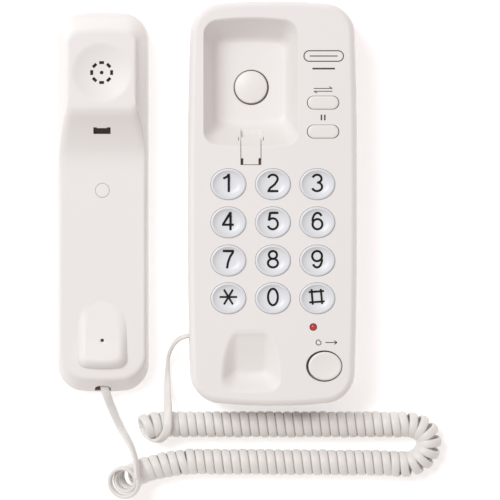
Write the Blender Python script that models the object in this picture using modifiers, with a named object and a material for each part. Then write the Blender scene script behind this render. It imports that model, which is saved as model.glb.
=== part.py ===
"""Slimline wall telephone: the base unit, the handset lying face up beside it, and their curly cord.

Metres, +Z up. The phone lies on its back on the plane z = 0. +Y runs towards the ear end and +X to the
right of someone who reads the keys. The origin is under the middle of base and handset together.
"""

import math

import bmesh
import bpy
from mathutils import Matrix, Vector

# ---------------------------------------------------------------- driving dimensions

GAP = 0.0003  # between pieces that touch
TOTAL_WIDTH = 0.161  # base and handset side by side

# Base unit
BASE_WIDTH, BASE_LENGTH, BASE_TOP = 0.091, 0.217, 0.038
BASE_FLOOR, BASE_SPLIT = 0.002, 0.012  # underside, and where the two covers meet
BASE_X = TOTAL_WIDTH / 2 - BASE_WIDTH / 2
BASE_CORNER, BASE_END_BOW, BASE_SIDE_BOW = 0.0145, 0.0032, 0.0019
WALL = 0.0024

# Cradle: the ear well, the mouthpiece recess and what is in the well
CRADLE_X = 0.0235
WELL_FLOOR, RECESS_FLOOR = 0.020, 0.030
HOOK_X, HOOK_Y, HOOK_RADIUS = CRADLE_X, 0.0622, 0.0087
TAB_HALF_WIDTH = 0.00525

# Keypad
KEY_COLUMNS = (0.0115, 0.0352, 0.0588)
KEY_ROWS = (0.0100, -0.0103, -0.0306, -0.0507)
KEY_NAMES = ("1", "2", "3", "4", "5", "6", "7", "8", "9", "star", "0", "hash")
KEY_RX, KEY_RY, KEY_PROUD, KEY_TRAVEL = 0.0094, 0.0083, 0.0015, 0.0015
PILL_HALF_LENGTH, PILL_HALF_WIDTH = 0.00845, 0.0035
PILLS = {"flash": (0.0619, 0.0534), "hold": (0.0619, 0.0380)}
REDIAL = (0.0629, -0.0868)
REDIAL_RX, REDIAL_RY = 0.0088, 0.0076
LAMP = (0.0567, -0.0660)
LAMP_RADIUS = 0.00165
FLANGE = 0.0009  # how far a key's skirt reaches under the cover

# Heights inside the base
BOARD_LOW, BOARD_HIGH = 0.0240, 0.0256
MAT_LOW, MAT_HIGH = BOARD_HIGH + GAP, 0.0270
KEY_LOW = 0.0300
NUB_TOP = KEY_LOW - KEY_TRAVEL - GAP

# Base fittings
SCREWS = ((-0.0005, 0.0993), (0.0705, 0.0993), (-0.0005, -0.0993), (0.0705, -0.0993))
SCREW_SEAT = 0.0056
FEET = ((0.0060, 0.0920), (0.0640, 0.0920), (0.0060, -0.0920), (0.0640, -0.0920))
FOOT_RADIUS = 0.005
BOARD_SCREWS = ((0.0234, 0.0000), (0.0470, -0.0810))
KEYHOLE_X, KEYHOLE_SPACING = BASE_X, 0.100
SOUNDER = (0.0150, -0.0250)
SOUNDER_RADIUS = 0.0135
LINE_JACK_X, JACK_Z = 0.0500, 0.0180
LINE_NOSE_X, LINE_NOSE_Z = 0.0063, 0.0047  # half sizes of the line jack's nose in the end wall
CORD_JACK_Y = -0.0710
RINGER_Y, RINGER_SLOT, RINGER_KNOB = 0.0598, 0.0102, 0.0048
TONE_Y, TONE_SLOT, TONE_KNOB = 0.0400, 0.0144, 0.0060
SWITCH_Z, SWITCH_HALF_HEIGHT = 0.0240, 0.0018

# Handset
HANDSET_WIDTH, HANDSET_LOW, HANDSET_HIGH = 0.049, -0.1010, 0.1029
HANDSET_X = -TOTAL_WIDTH / 2 + HANDSET_WIDTH / 2
HANDSET_CORNER, HANDSET_END_BOW = 0.0125, 0.0024
HANDSET_SPLIT, HANDSET_FACE, EAR_TOP = 0.008, 0.021, 0.037
HANDSET_WALL = 0.0022
EAR_Y, EAR_DISH_RADIUS, EAR_DISH_DEPTH = 0.0695, 0.01525, 0.0025
EAR_CEILING = EAR_TOP - EAR_DISH_DEPTH - 0.0020
MOUTH_TOP_Y, MOUTH_BOTTOM_Y, MOUTH_HEIGHT = -0.0520, -0.0888, 0.0078
MIC_Y = -0.0733
HOOK_SLOT_Y, HOOK_SLOT_LENGTH, HOOK_SLOT_WIDTH = 0.0387, 0.0092, 0.0035
PLUG_Y, PLUG_RADIUS = 0.0069, 0.0039
HANDSET_JACK_Z = 0.0115

# Curly cord
CORD_RADIUS, COIL_RADIUS = 0.0018, 0.0070
HANDSET_TAIL = (
    (-0.0559, -0.0943, 0.0115),
    (-0.0550, -0.0983, 0.0114),
    (-0.0543, -0.1026, 0.0106),
    (-0.0521, -0.1106, 0.0066),
    (-0.0484, -0.1203, 0.0030),
    (-0.0450, -0.1297, 0.0040),
    (-0.0424, -0.1367, 0.0082),
)
LOWER_RUN = (
    (-0.0449, -0.1486),
    (-0.0385, -0.1449),
    (-0.0305, -0.1420),
    (-0.0225, -0.1403),
    (-0.0144, -0.1393),
    (-0.0037, -0.1387),
    (0.0500, -0.1390),
    (0.0950, -0.1394),
)
UPPER_RUN = (
    (0.0953, -0.1394),
    (0.1033, -0.1395),
    (0.1090, -0.1390),
    (0.1141, -0.1362),
    (0.1174, -0.1313),
    (0.1172, -0.1253),
    (0.1132, -0.1206),
    (0.1070, -0.1188),
    (0.0985, -0.1187),
    (0.0500, -0.1187),
    (-0.0100, -0.1187),
    (-0.0353, -0.1187),
)
BASE_TAIL = (
    (-0.0108, -0.0710, 0.0180),
    (-0.0150, -0.0722, 0.0163),
    (-0.0188, -0.0762, 0.0112),
    (-0.0213, -0.0830, 0.0056),
    (-0.0222, -0.0919, 0.0026),
    (-0.0224, -0.0999, 0.0019),
    (-0.0221, -0.1060, 0.0019),
    (-0.0216, -0.1113, 0.0022),
)

# ---------------------------------------------------------------- scene and materials


def clear_scene():
    for obj in list(bpy.data.objects):
        bpy.data.objects.remove(obj, do_unlink=True)


def new_collection(name):
    collection = bpy.data.collections.new(name)
    bpy.context.scene.collection.children.link(collection)
    return collection


def material(name, colour, roughness, metallic=0.0):
    made = bpy.data.materials.new(name)
    made.use_nodes = True
    shader = made.node_tree.nodes["Principled BSDF"]
    shader.inputs["Base Color"].default_value = (*colour, 1.0)
    shader.inputs["Roughness"].default_value = roughness
    shader.inputs["Metallic"].default_value = metallic
    made.diffuse_color = (*colour, 1.0)
    return made


clear_scene()
PHONE = new_collection("slimline_wall_phone")
CUTTERS = new_collection("cutters")
SHELL = material("warm_white_shell", (0.84, 0.81, 0.79), 0.38)
BUTTON = material("warm_white_button", (0.83, 0.80, 0.78), 0.32)
KEYCAP = material("grey_keycap", (0.74, 0.76, 0.79), 0.12)
CORD = material("cord_jacket", (0.80, 0.77, 0.74), 0.45)
BOARD = material("circuit_board", (0.10, 0.28, 0.12), 0.50)
RUBBER = material("grey_rubber", (0.18, 0.18, 0.19), 0.80)
STEEL = material("steel", (0.62, 0.62, 0.64), 0.35, 1.0)
BLACK = material("black_plastic", (0.03, 0.03, 0.03), 0.45)
CLEAR = material("clear_plastic", (0.80, 0.82, 0.84), 0.15)
LAMP_RED = material("lamp_red", (0.60, 0.03, 0.03), 0.20)

# ---------------------------------------------------------------- outlines and solids


def outline(x_range, y_range, corners, bows=(0.0, 0.0), arc_steps=4, end_steps=4, side_steps=1):
    """A counter-clockwise rounded rectangle. corners and bows are those of the low and high Y ends."""
    (x_low, x_high), (y_low, y_high) = x_range, y_range
    low, high = corners
    run_x = {"low": x_high - x_low - 2 * low, "high": x_high - x_low - 2 * high}
    run_y = y_high - y_low - low - high
    corner_places = (  # centre, radius, start angle, then the straight run that follows and its steps
        (x_high - low, y_low + low, low, -90, (0, run_y), side_steps),
        (x_high - high, y_high - high, high, 0, (-run_x["high"], 0), end_steps),
        (x_low + high, y_high - high, high, 90, (0, -run_y), side_steps),
        (x_low + low, y_low + low, low, 180, (run_x["low"], 0), end_steps),
    )
    points = []
    for cx, cy, radius, start, run, steps in corner_places:
        for step in range(arc_steps + 1):
            angle = math.radians(start + 90 * step / arc_steps)
            points.append((cx + radius * math.cos(angle), cy + radius * math.sin(angle)))
        x, y = points[-1]
        for step in range(1, steps):
            points.append((x + run[0] * step / steps, y + run[1] * step / steps))
    return [bowed(point, x_range, y_range, bows) for point in points]


def bowed(point, x_range, y_range, bows):
    """Moves a point of an outline's ends so that the middle of each end stands furthest out."""
    x, y = point
    across = (2 * x - sum(x_range)) / (x_range[1] - x_range[0])
    if y > sum(y_range) / 2:
        return x, y - bows[1] * across**2
    return x, y + bows[0] * across**2


def base_outline(inset=0.0):
    """The base's outline, whose long sides also bow a little."""
    half_width, half_length = BASE_WIDTH / 2 - inset, BASE_LENGTH / 2 - inset
    corner = max(BASE_CORNER - inset, 0.004)
    points = outline(
        (-half_width, half_width),
        (-half_length, half_length),
        (corner, corner),
        (BASE_END_BOW, BASE_END_BOW),
        side_steps=6,
    )
    made = []
    for x, y in points:
        narrow = BASE_SIDE_BOW * abs(y / half_length) ** 2.5 / half_width
        made.append((BASE_X + x * (1 - narrow), y))
    return made


def handset_outline(side=0.0, low_end=0.0, high_end=0.0):
    """The handset's outline, moved in by its own amount at the sides, the mouth end and the ear end."""
    half_width = HANDSET_WIDTH / 2 - side
    corner = HANDSET_CORNER - side / 2
    return outline(
        (HANDSET_X - half_width, HANDSET_X + half_width),
        (HANDSET_LOW + low_end, HANDSET_HIGH - high_end),
        (corner, corner),
        (HANDSET_END_BOW, HANDSET_END_BOW),
    )


def ellipse(centre, rx, ry, steps=16):
    turns = [2 * math.pi * step / steps for step in range(steps)]
    return [(centre[0] + rx * math.cos(a), centre[1] + ry * math.sin(a)) for a in turns]


def pill(centre, grow=0.0, steps=5):
    """A stadium shape along X."""
    radius = PILL_HALF_WIDTH + grow
    reach = PILL_HALF_LENGTH - PILL_HALF_WIDTH
    points = []
    for side, start in ((1, -90), (-1, 90)):
        for step in range(steps + 1):
            angle = math.radians(start + 180 * step / steps)
            x = centre[0] + side * reach + radius * math.cos(angle)
            points.append((x, centre[1] + radius * math.sin(angle)))
    return points


def at_height(points, z):
    return [(x, y, z) for x, y in points]


def add_box(bm, low, high):
    size = [high[i] - low[i] for i in range(3)]
    centre = [(high[i] + low[i]) / 2 for i in range(3)]
    bmesh.ops.create_cube(bm, size=1, matrix=Matrix.LocRotScale(centre, None, size))


def add_cylinder(bm, centre, radius, z_low, z_high, segments=16):
    place = Matrix.Translation((centre[0], centre[1], (z_low + z_high) / 2))
    bmesh.ops.create_cone(
        bm,
        cap_ends=True,
        segments=segments,
        radius1=radius,
        radius2=radius,
        depth=z_high - z_low,
        matrix=place,
    )


def add_plate(bm, points, z_low, z_high):
    """A flat outline extruded upwards."""
    face = bm.faces.new([bm.verts.new((x, y, z_low)) for x, y in points])
    raised = bmesh.ops.extrude_face_region(bm, geom=[face])["geom"]
    verts = [item for item in raised if isinstance(item, bmesh.types.BMVert)]
    bmesh.ops.translate(bm, verts=verts, vec=(0, 0, z_high - z_low))


def add_loft(bm, sections):
    """A closed solid through sections of equal point count, lowest first."""
    rows = [[bm.verts.new(point) for point in section] for section in sections]
    for low, high in zip(rows, rows[1:], strict=False):
        for i in range(len(low)):
            j = (i + 1) % len(low)
            bm.faces.new((low[i], low[j], high[j], high[i]))
    bm.faces.new(rows[0])
    bm.faces.new(rows[-1])


def add_side_profile(bm, profile, x_low, x_high):
    """An outline in the YZ plane extruded along X."""
    face = bm.faces.new([bm.verts.new((x_low, y, z)) for y, z in profile])
    raised = bmesh.ops.extrude_face_region(bm, geom=[face])["geom"]
    verts = [item for item in raised if isinstance(item, bmesh.types.BMVert)]
    bmesh.ops.translate(bm, verts=verts, vec=(x_high - x_low, 0, 0))


def mesh_from(name, build):
    bm = bmesh.new()
    build(bm)
    bmesh.ops.recalc_face_normals(bm, faces=bm.faces)
    mesh = bpy.data.meshes.new(name)
    bm.to_mesh(mesh)
    bm.free()
    mesh.shade_smooth()
    mesh.set_sharp_from_angle(angle=math.radians(35))
    return mesh


def add_part(name, mesh, finish, location=(0.0, 0.0, 0.0), parent=None):
    obj = bpy.data.objects.new(name, mesh)
    if finish and not mesh.materials:
        mesh.materials.append(finish)
    PHONE.objects.link(obj)
    obj.location = location
    obj.parent = parent
    return obj


def add_cutter(name, build):
    obj = bpy.data.objects.new(name, mesh_from(name, build))
    CUTTERS.objects.link(obj)
    obj.hide_render = True
    obj.display_type = "WIRE"
    return obj


def boolean(obj, other, operation):
    modifier = obj.modifiers.new(f"{operation.lower()}_{other.name}", "BOOLEAN")
    modifier.operation = operation
    modifier.object = other


def cut(obj, *others):
    for other in others:
        boolean(obj, other, "DIFFERENCE")


def join(obj, *others):
    for other in others:
        boolean(obj, other, "UNION")


def turned_mesh(name, profile):
    """The open profile of a turned piece: (radius, height) pairs from the top of its axis to the bottom."""
    mesh = bpy.data.meshes.new(name)
    edges = [(i, i + 1) for i in range(len(profile) - 1)]
    mesh.from_pydata([(radius, 0, z) for radius, z in profile], edges, [])
    return mesh


def add_turn(obj, steps):
    screw = obj.modifiers.new("turn", "SCREW")
    screw.steps = screw.render_steps = steps
    screw.use_merge_vertices = True
    screw.merge_threshold = 0.00001
    screw.use_smooth_shade = True


def add_turned(name, profile, finish, location, steps=24):
    obj = add_part(name, turned_mesh(name, profile), finish, location)
    add_turn(obj, steps)
    return obj


def smooth_route(points, spacing):
    """Points of a Catmull-Rom curve through the given ones, about spacing apart."""
    route = [Vector(point) for point in points]
    ends = [2 * route[0] - route[1], *route, 2 * route[-1] - route[-2]]
    made = [route[0]]
    for a, b, c, d in zip(ends, ends[1:], ends[2:], ends[3:], strict=False):
        steps = max(1, round((c - b).length / spacing))
        for step in range(1, steps + 1):
            t = step / steps
            made.append(
                0.5
                * (2 * b + (c - a) * t + (2 * a - 5 * b + 4 * c - d) * t**2 + (3 * b - a - 3 * c + d) * t**3)
            )
    return made


def add_tube(name, points, radius, finish, resolution=2):
    curve = bpy.data.curves.new(name, "CURVE")
    curve.dimensions = "3D"
    curve.bevel_depth = radius
    curve.bevel_resolution = resolution
    curve.use_fill_caps = True
    spline = curve.splines.new("POLY")
    spline.points.add(len(points) - 1)
    for place, point in zip(spline.points, points, strict=True):
        place.co = (*point, 1.0)
    curve.materials.append(finish)
    obj = bpy.data.objects.new(name, curve)
    PHONE.objects.link(obj)
    return obj


# ---------------------------------------------------------------- base covers


def well_outline(share, grow=0.0):
    """The ear well at a share of the way from its floor (0) to its mouth (1)."""

    def between(low, high):
        return low + share * (high - low)

    corner = between(0.0040, 0.0070) + grow
    return outline(
        (between(0.00375, -0.0016) - grow, between(0.0421, 0.0487) + grow),
        (between(0.0421, 0.0298) - grow, between(0.0879, 0.0986) + grow),
        (corner, corner),
        (between(0.0010, 0.0018), between(0.0012, 0.0022)),
        arc_steps=4,
    )


def recess_outline(share, grow=0.0):
    """The mouthpiece recess, which flares towards its low end, at a share of the way up from its floor."""

    def between(low, high):
        return low + share * (high - low)

    y_low, y_high = between(-0.0915, -0.0998) - grow, between(-0.0710, -0.0676) + grow
    wide, narrow = between(0.0083, 0.0151) + grow, between(0.0078, 0.0093) + grow
    corner = between(0.0020, 0.0040) + grow
    points = outline((-wide, wide), (y_low, y_high), (corner, corner), (0.001, 0.0), arc_steps=4)
    made = []
    for x, y in points:
        rise = (y - y_low) / (y_high - y_low)
        made.append((CRADLE_X + x * (1 + rise * (narrow / wide - 1)), y))
    return made


def add_hollow(bm, section, floor, grow=0.0):
    """A cradle hollow from its floor up past the top face, or, grown by a wall, the lining around it."""
    above = BASE_TOP + 0.004
    bottom = floor - grow
    sections = [at_height(section(0.0, grow), bottom), at_height(section(1.0, grow), BASE_TOP)]
    add_loft(bm, [*sections, at_height(section(1.0, grow), above)])


TAB_TOP = (  # (y, z) along the tab's upper face, from the flat stretch down the slope of the well
    (0.0205, BASE_TOP - 0.0006),
    (0.0296, BASE_TOP - 0.0006),
    (0.0352, 0.0306),
)
TAB_UNDERSIDE = ((0.0336, 0.0288), (0.0284, 0.0352), (0.0205, 0.0352))


def tab_channel_profile(grow=0.0):
    """The channel that the tab lies in, open at the top and towards the well. grow is its lining."""
    start, floor = 0.0202 - grow, 0.0349 - grow
    return (
        (start, BASE_TOP + 0.004),
        (start, floor),
        (0.0281 - grow / 2, floor),
        (0.0374 - grow / 2, 0.0234 - grow),
        (0.0450, 0.0234 - grow),
        (0.0450, BASE_TOP + 0.004),
    )


def add_tab_channel(bm, grow=0.0):
    half = TAB_HALF_WIDTH + GAP + grow
    add_side_profile(bm, tab_channel_profile(grow), CRADLE_X - half, CRADLE_X + half)


def key_places():
    """Name, x and y of the twelve keys, row by row."""
    for index, label in enumerate(KEY_NAMES):
        yield f"key_{label}", KEY_COLUMNS[index % 3], KEY_ROWS[index // 3]


def add_top_face_holes(bm):
    low, high = BASE_TOP - 0.006, BASE_TOP + 0.004
    clear = GAP + 0.00005
    for _, x, y in key_places():
        add_plate(bm, ellipse((x, y), KEY_RX + clear, KEY_RY + clear), low, high)
    for centre in PILLS.values():
        add_plate(bm, pill(centre, clear), low, high)
    add_plate(bm, ellipse(REDIAL, REDIAL_RX + 0.0008, REDIAL_RY + 0.0007, 20), low, high)
    add_cylinder(bm, LAMP, LAMP_RADIUS + GAP, low, high, 12)
    add_cylinder(bm, (HOOK_X, HOOK_Y), HOOK_RADIUS + 0.00075, 0.016, 0.0225, 20)


def add_wall_holes(bm):
    """The two switch slots, the handset cord's socket and the line socket, all in the upright walls."""
    right = TOTAL_WIDTH / 2
    for y, length in ((RINGER_Y, RINGER_SLOT), (TONE_Y, TONE_SLOT)):
        low = SWITCH_Z - SWITCH_HALF_HEIGHT - GAP
        high = SWITCH_Z + SWITCH_HALF_HEIGHT + GAP
        add_box(bm, (right - 0.006, y - length / 2, low), (right + 0.004, y + length / 2, high))
    left = BASE_X - BASE_WIDTH / 2
    half_y, half_z = 0.0043, 0.0036
    low = (left - 0.004, CORD_JACK_Y - half_y, JACK_Z - half_z)
    add_box(bm, low, (left + 0.006, CORD_JACK_Y + half_y, JACK_Z + half_z))
    end = -BASE_LENGTH / 2
    low = (LINE_JACK_X - LINE_NOSE_X - GAP, end - 0.004, JACK_Z - LINE_NOSE_Z - GAP)
    add_box(bm, low, (LINE_JACK_X + LINE_NOSE_X + GAP, end + 0.006, JACK_Z + LINE_NOSE_Z + GAP))


def add_screw_bosses(bm):
    for place in SCREWS:
        add_cylinder(bm, place, 0.0033, BASE_SPLIT - 0.002, BASE_TOP, 14)
    for place in BOARD_SCREWS:
        add_cylinder(bm, place, 0.0024, BOARD_HIGH + GAP, BASE_TOP, 10)


def add_screw_bores(bm):
    for place in SCREWS:
        add_cylinder(bm, place, 0.0015, BASE_SPLIT - 0.003, 0.0225, 10)
    for place in BOARD_SCREWS:
        add_cylinder(bm, place, 0.0011, BOARD_LOW, 0.0310, 8)


def base_top_cover():
    edge_height, edge_inset, draft = 0.0062, 0.0046, 0.0007
    sections = [at_height(base_outline(), BASE_SPLIT + GAP / 2)]
    for step in range(5):
        angle = math.radians(90 * step / 4)
        inset = draft + edge_inset * (1 - math.cos(angle))
        z = BASE_TOP - edge_height * (1 - math.sin(angle))
        sections.append(at_height(base_outline(inset), z))
    cover = add_part("base_top_cover", mesh_from("top_cover", lambda bm: add_loft(bm, sections)), SHELL)

    inside = [
        at_height(base_outline(WALL), BASE_SPLIT - 0.002),
        at_height(base_outline(WALL + draft), 0.0320),
        at_height(base_outline(WALL + 0.0035), BASE_TOP - WALL),
    ]
    hollow = add_cutter("top_cover_hollow", lambda bm: add_loft(bm, inside))
    linings = (
        add_cutter("well_lining", lambda bm: add_hollow(bm, well_outline, WELL_FLOOR, 0.0022)),
        add_cutter("recess_lining", lambda bm: add_hollow(bm, recess_outline, RECESS_FLOOR, 0.0022)),
        add_cutter("tab_lining", lambda bm: add_tab_channel(bm, 0.0020)),
        add_cutter("screw_bosses", add_screw_bosses),
    )
    cut(hollow, *linings)
    cut(
        cover,
        hollow,
        add_cutter("well", lambda bm: add_hollow(bm, well_outline, WELL_FLOOR)),
        add_cutter("recess", lambda bm: add_hollow(bm, recess_outline, RECESS_FLOOR)),
        add_cutter("tab_channel", add_tab_channel),
        add_cutter("top_face_holes", add_top_face_holes),
        add_cutter("wall_holes", add_wall_holes),
        add_cutter("screw_bores", add_screw_bores),
    )


def keyhole_outline(centre, head=0.0045, slot=0.0023, reach=0.0095, steps=12):
    """A round hole for a screw head with a narrower slot above it."""
    start = math.asin(slot / head)
    points = []
    for step in range(steps + 1):
        angle = math.pi / 2 + start + (2 * math.pi - 2 * start) * step / steps
        points.append((centre[0] + head * math.cos(angle), centre[1] + head * math.sin(angle)))
    for step in range(5):
        angle = math.pi * step / 4
        x = centre[0] + slot * math.cos(angle)
        points.append((x, centre[1] + reach + slot * math.sin(angle)))
    return points


def keyhole_places():
    return [(KEYHOLE_X, side * KEYHOLE_SPACING / 2) for side in (1, -1)]


def add_bottom_posts(bm):
    for place in SCREWS:
        add_cylinder(bm, place, 0.0050, 0.003, BASE_SPLIT + 0.002, 14)
    add_cylinder(bm, (HOOK_X, HOOK_Y), 0.0045, 0.003, 0.0115, 14)


def add_bottom_holes(bm):
    for place in SCREWS:
        add_cylinder(bm, place, 0.0036, BASE_FLOOR - 0.002, SCREW_SEAT, 14)
    for place in FEET:
        add_cylinder(bm, place, FOOT_RADIUS + GAP, BASE_FLOOR - 0.002, 0.0033, 16)
    for place in keyhole_places():
        add_plate(bm, keyhole_outline(place), BASE_FLOOR - 0.002, 0.0060)
    for step in range(6):
        angle = math.pi * step / 3
        place = (SOUNDER[0] + 0.005 * math.cos(angle), SOUNDER[1] + 0.005 * math.sin(angle))
        add_cylinder(bm, place, 0.0011, BASE_FLOOR - 0.002, 0.0060, 8)


def add_bottom_bores(bm):
    for place in SCREWS:
        add_cylinder(bm, place, 0.0016, SCREW_SEAT - 0.001, BASE_SPLIT + 0.002, 10)
    add_cylinder(bm, (HOOK_X, HOOK_Y), 0.0029, 0.0052, BASE_SPLIT + 0.003, 14)


def base_bottom_cover():
    rounding = ((0.0036, 0.0), (0.0014, 0.0009), (0.0003, 0.0034))
    sections = [at_height(base_outline(inset), BASE_FLOOR + rise) for inset, rise in rounding]
    sections.append(at_height(base_outline(), BASE_SPLIT - GAP / 2))
    cover = add_part("base_bottom_cover", mesh_from("bottom_cover", lambda bm: add_loft(bm, sections)), SHELL)
    tray = [
        at_height(base_outline(WALL + 0.0014), BASE_FLOOR + WALL),
        at_height(base_outline(WALL), 0.0070),
        at_height(base_outline(WALL), BASE_SPLIT + 0.001),
    ]
    hollow = add_cutter("bottom_cover_tray", lambda bm: add_loft(bm, tray))
    cut(hollow, add_cutter("bottom_posts", add_bottom_posts))
    holes = add_cutter("bottom_holes", add_bottom_holes), add_cutter("bottom_bores", add_bottom_bores)
    cut(cover, hollow, *holes)


# ---------------------------------------------------------------- keys and buttons


def cap_sections(section, low, proud, dish):
    """A cap with a skirt under the cover, a soft edge and a slightly dished top, in heights of its own."""
    top = BASE_TOP - low + proud
    skirt = 0.0012
    return [
        at_height(section(FLANGE), 0.0),
        at_height(section(FLANGE), skirt),
        at_height(section(0.0), skirt),
        at_height(section(0.0), top - 0.0006),
        at_height(section(-0.0008), top),
        at_height(section(-0.0034), top - dish),
    ]


def keypad():
    def section(grow):
        return ellipse((0, 0), KEY_RX + grow, KEY_RY + grow)

    sections = cap_sections(section, KEY_LOW, KEY_PROUD, 0.0005)
    mesh = mesh_from("key_cap", lambda bm: add_loft(bm, sections))
    for name, x, y in key_places():
        add_part(name, mesh, KEYCAP, (x, y, KEY_LOW))


def function_buttons():
    sections = cap_sections(lambda grow: pill((0, 0), grow), KEY_LOW, 0.0010, 0.0)
    mesh = mesh_from("pill_button", lambda bm: add_loft(bm, sections))
    for name, (x, y) in PILLS.items():
        add_part(f"{name}_button", mesh, BUTTON, (x, y, KEY_LOW))

    def section(grow):
        return ellipse((0, 0), REDIAL_RX + grow + (FLANGE if grow > 0 else 0), REDIAL_RY + grow, 20)

    sections = cap_sections(section, KEY_LOW, 0.0012, 0.0004)
    mesh = mesh_from("redial_button", lambda bm: add_loft(bm, sections))
    add_part("redial_button", mesh, BUTTON, (*REDIAL, KEY_LOW))


def key_mat():
    """The rubber sheet under the keys, with a nub below each."""
    points = ((0.0030, -0.0950), (0.0712, -0.0950), (0.0712, 0.0600), (0.0530, 0.0600))
    points = (*points, (0.0530, 0.0200), (0.0030, 0.0200))
    mat = add_part("key_mat", mesh_from("mat", lambda bm: add_plate(bm, points, MAT_LOW, MAT_HIGH)), RUBBER)

    def nubs(bm):
        places = [(x, y) for _, x, y in key_places()] + [*PILLS.values(), REDIAL]
        for place in places:
            add_cylinder(bm, place, 0.0026, MAT_LOW + 0.0005, NUB_TOP, 8)

    def holes(bm):
        add_cylinder(bm, LAMP, LAMP_RADIUS + 0.0005, MAT_LOW - 0.001, MAT_HIGH + 0.001, 12)
        for place in BOARD_SCREWS:
            add_cylinder(bm, place, 0.0028, MAT_LOW - 0.001, MAT_HIGH + 0.001, 10)

    join(mat, add_cutter("mat_nubs", nubs))
    cut(mat, add_cutter("mat_holes", holes))


def main_board():
    points = ((0.0020, -0.0955), (0.0690, -0.0955), (0.0690, -0.0890), (0.0722, -0.0850))
    points = (*points, (0.0722, 0.0640), (0.0525, 0.0640), (0.0525, 0.0220), (0.0020, 0.0220))
    mesh = mesh_from("board", lambda bm: add_plate(bm, points, BOARD_LOW, BOARD_HIGH))
    board = add_part("main_board", mesh, BOARD)

    def holes(bm):
        for place in BOARD_SCREWS:
            add_cylinder(bm, place, 0.0012, BOARD_LOW - 0.001, BOARD_HIGH + 0.001, 8)

    cut(board, add_cutter("board_holes", holes))


def lamp_lens():
    """A small round lamp whose dome stands just above the cover."""
    radius = LAMP_RADIUS
    top = BASE_TOP + 0.0008 - MAT_LOW
    profile = [(0.0, top), (radius * 0.6, top - 0.0004), (radius, top - 0.0013), (radius, 0.0), (0.0, 0.0)]
    add_turned("lamp_lens", profile, LAMP_RED, (*LAMP, MAT_LOW), steps=12)


# ---------------------------------------------------------------- hook switch and wall tab


def hook_parts():
    """The button in the ear well, its spring, and the switch under its flange."""
    flange_top = WELL_FLOOR - 0.0022 - GAP
    top = WELL_FLOOR + 0.0024
    profile = [
        (0.0, top),
        (0.0045, top - 0.0003),
        (0.0077, top - 0.0011),
        (HOOK_RADIUS, top - 0.0022),
        (HOOK_RADIUS, flange_top),
        (0.0104, flange_top),
        (0.0104, flange_top - 0.0014),
        (0.0026, flange_top - 0.0014),
        (0.0026, 0.0090),
        (0.0, 0.0090),
    ]
    add_turned("hook_button", profile, BUTTON, (HOOK_X, HOOK_Y, 0.0), steps=20)

    wire, coil, turns, per_turn = 0.0005, 0.0062, 4, 10
    low = BASE_FLOOR + WALL + GAP + wire
    high = flange_top - 0.0014 - GAP - wire
    steps = turns * per_turn
    points = []
    for step in range(steps + 1):
        angle = 2 * math.pi * step / per_turn
        rise = low + (high - low) * step / steps
        points.append((HOOK_X + coil * math.cos(angle), HOOK_Y + coil * math.sin(angle), rise))
    add_tube("hook_spring", points, wire, STEEL, resolution=1)

    def switch(bm):
        low_z = BASE_FLOOR + WALL + GAP
        add_box(bm, (HOOK_X - 0.0165, HOOK_Y - 0.005, low_z), (HOOK_X - 0.0078, HOOK_Y + 0.005, 0.0126))

    add_part("hook_switch", mesh_from("hook_switch", switch), BLACK)


def wall_hook_tab():
    """The tab that holds the handset when the phone hangs on a wall. It slides up into the well."""

    def profile(bm):
        points = [(y, z) for y, z in (*TAB_TOP, *TAB_UNDERSIDE)]
        add_side_profile(bm, points, CRADLE_X - TAB_HALF_WIDTH, CRADLE_X + TAB_HALF_WIDTH)

    add_part("wall_hook_tab", mesh_from("wall_hook_tab", profile), BUTTON)


# ---------------------------------------------------------------- base fittings


def slide_switch(name, y, slot, knob):
    """A slide switch behind a slot of the right wall, and the knob that stands in the slot."""
    wall_in = TOTAL_WIDTH / 2 - 0.0037
    z_low, z_high = SWITCH_Z - SWITCH_HALF_HEIGHT, SWITCH_Z + SWITCH_HALF_HEIGHT

    def knob_shape(bm):
        half = knob / 2
        section = [(-half, z_low), (half, z_low), (half, z_high), (-half, z_high)]
        flange = [(-half - 0.001, z_low - 0.001), (half + 0.001, z_low - 0.001)]
        flange += [(half + 0.001, z_high + 0.001), (-half - 0.001, z_high + 0.001)]
        rows = [
            [(wall_in - 0.0018, a, b) for a, b in flange],
            [(wall_in - 0.0002, a, b) for a, b in flange],
            [(wall_in - 0.0002, a, b) for a, b in section],
            [(TOTAL_WIDTH / 2 - 0.0012, a, b) for a, b in section],
        ]
        add_loft(bm, rows)

    add_part(f"{name}_switch_knob", mesh_from(f"{name}_knob", knob_shape), BLACK, (0.0, y, 0.0))

    def body(bm):
        half = slot / 2 + 0.001
        add_box(bm, (wall_in - 0.0046, -half, 0.0195), (wall_in - 0.0021, half, 0.0285))

    add_part(f"{name}_switch", mesh_from(f"{name}_switch", body), STEEL, (0.0, y, 0.0))


def add_jack(name, low, high, mouth_low, mouth_high):
    """A modular jack: a block with a square mouth."""
    jack = add_part(name, mesh_from(name, lambda bm: add_box(bm, low, high)), BLACK)
    cut(jack, add_cutter(f"{name}_mouth", lambda bm: add_box(bm, mouth_low, mouth_high)))


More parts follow.
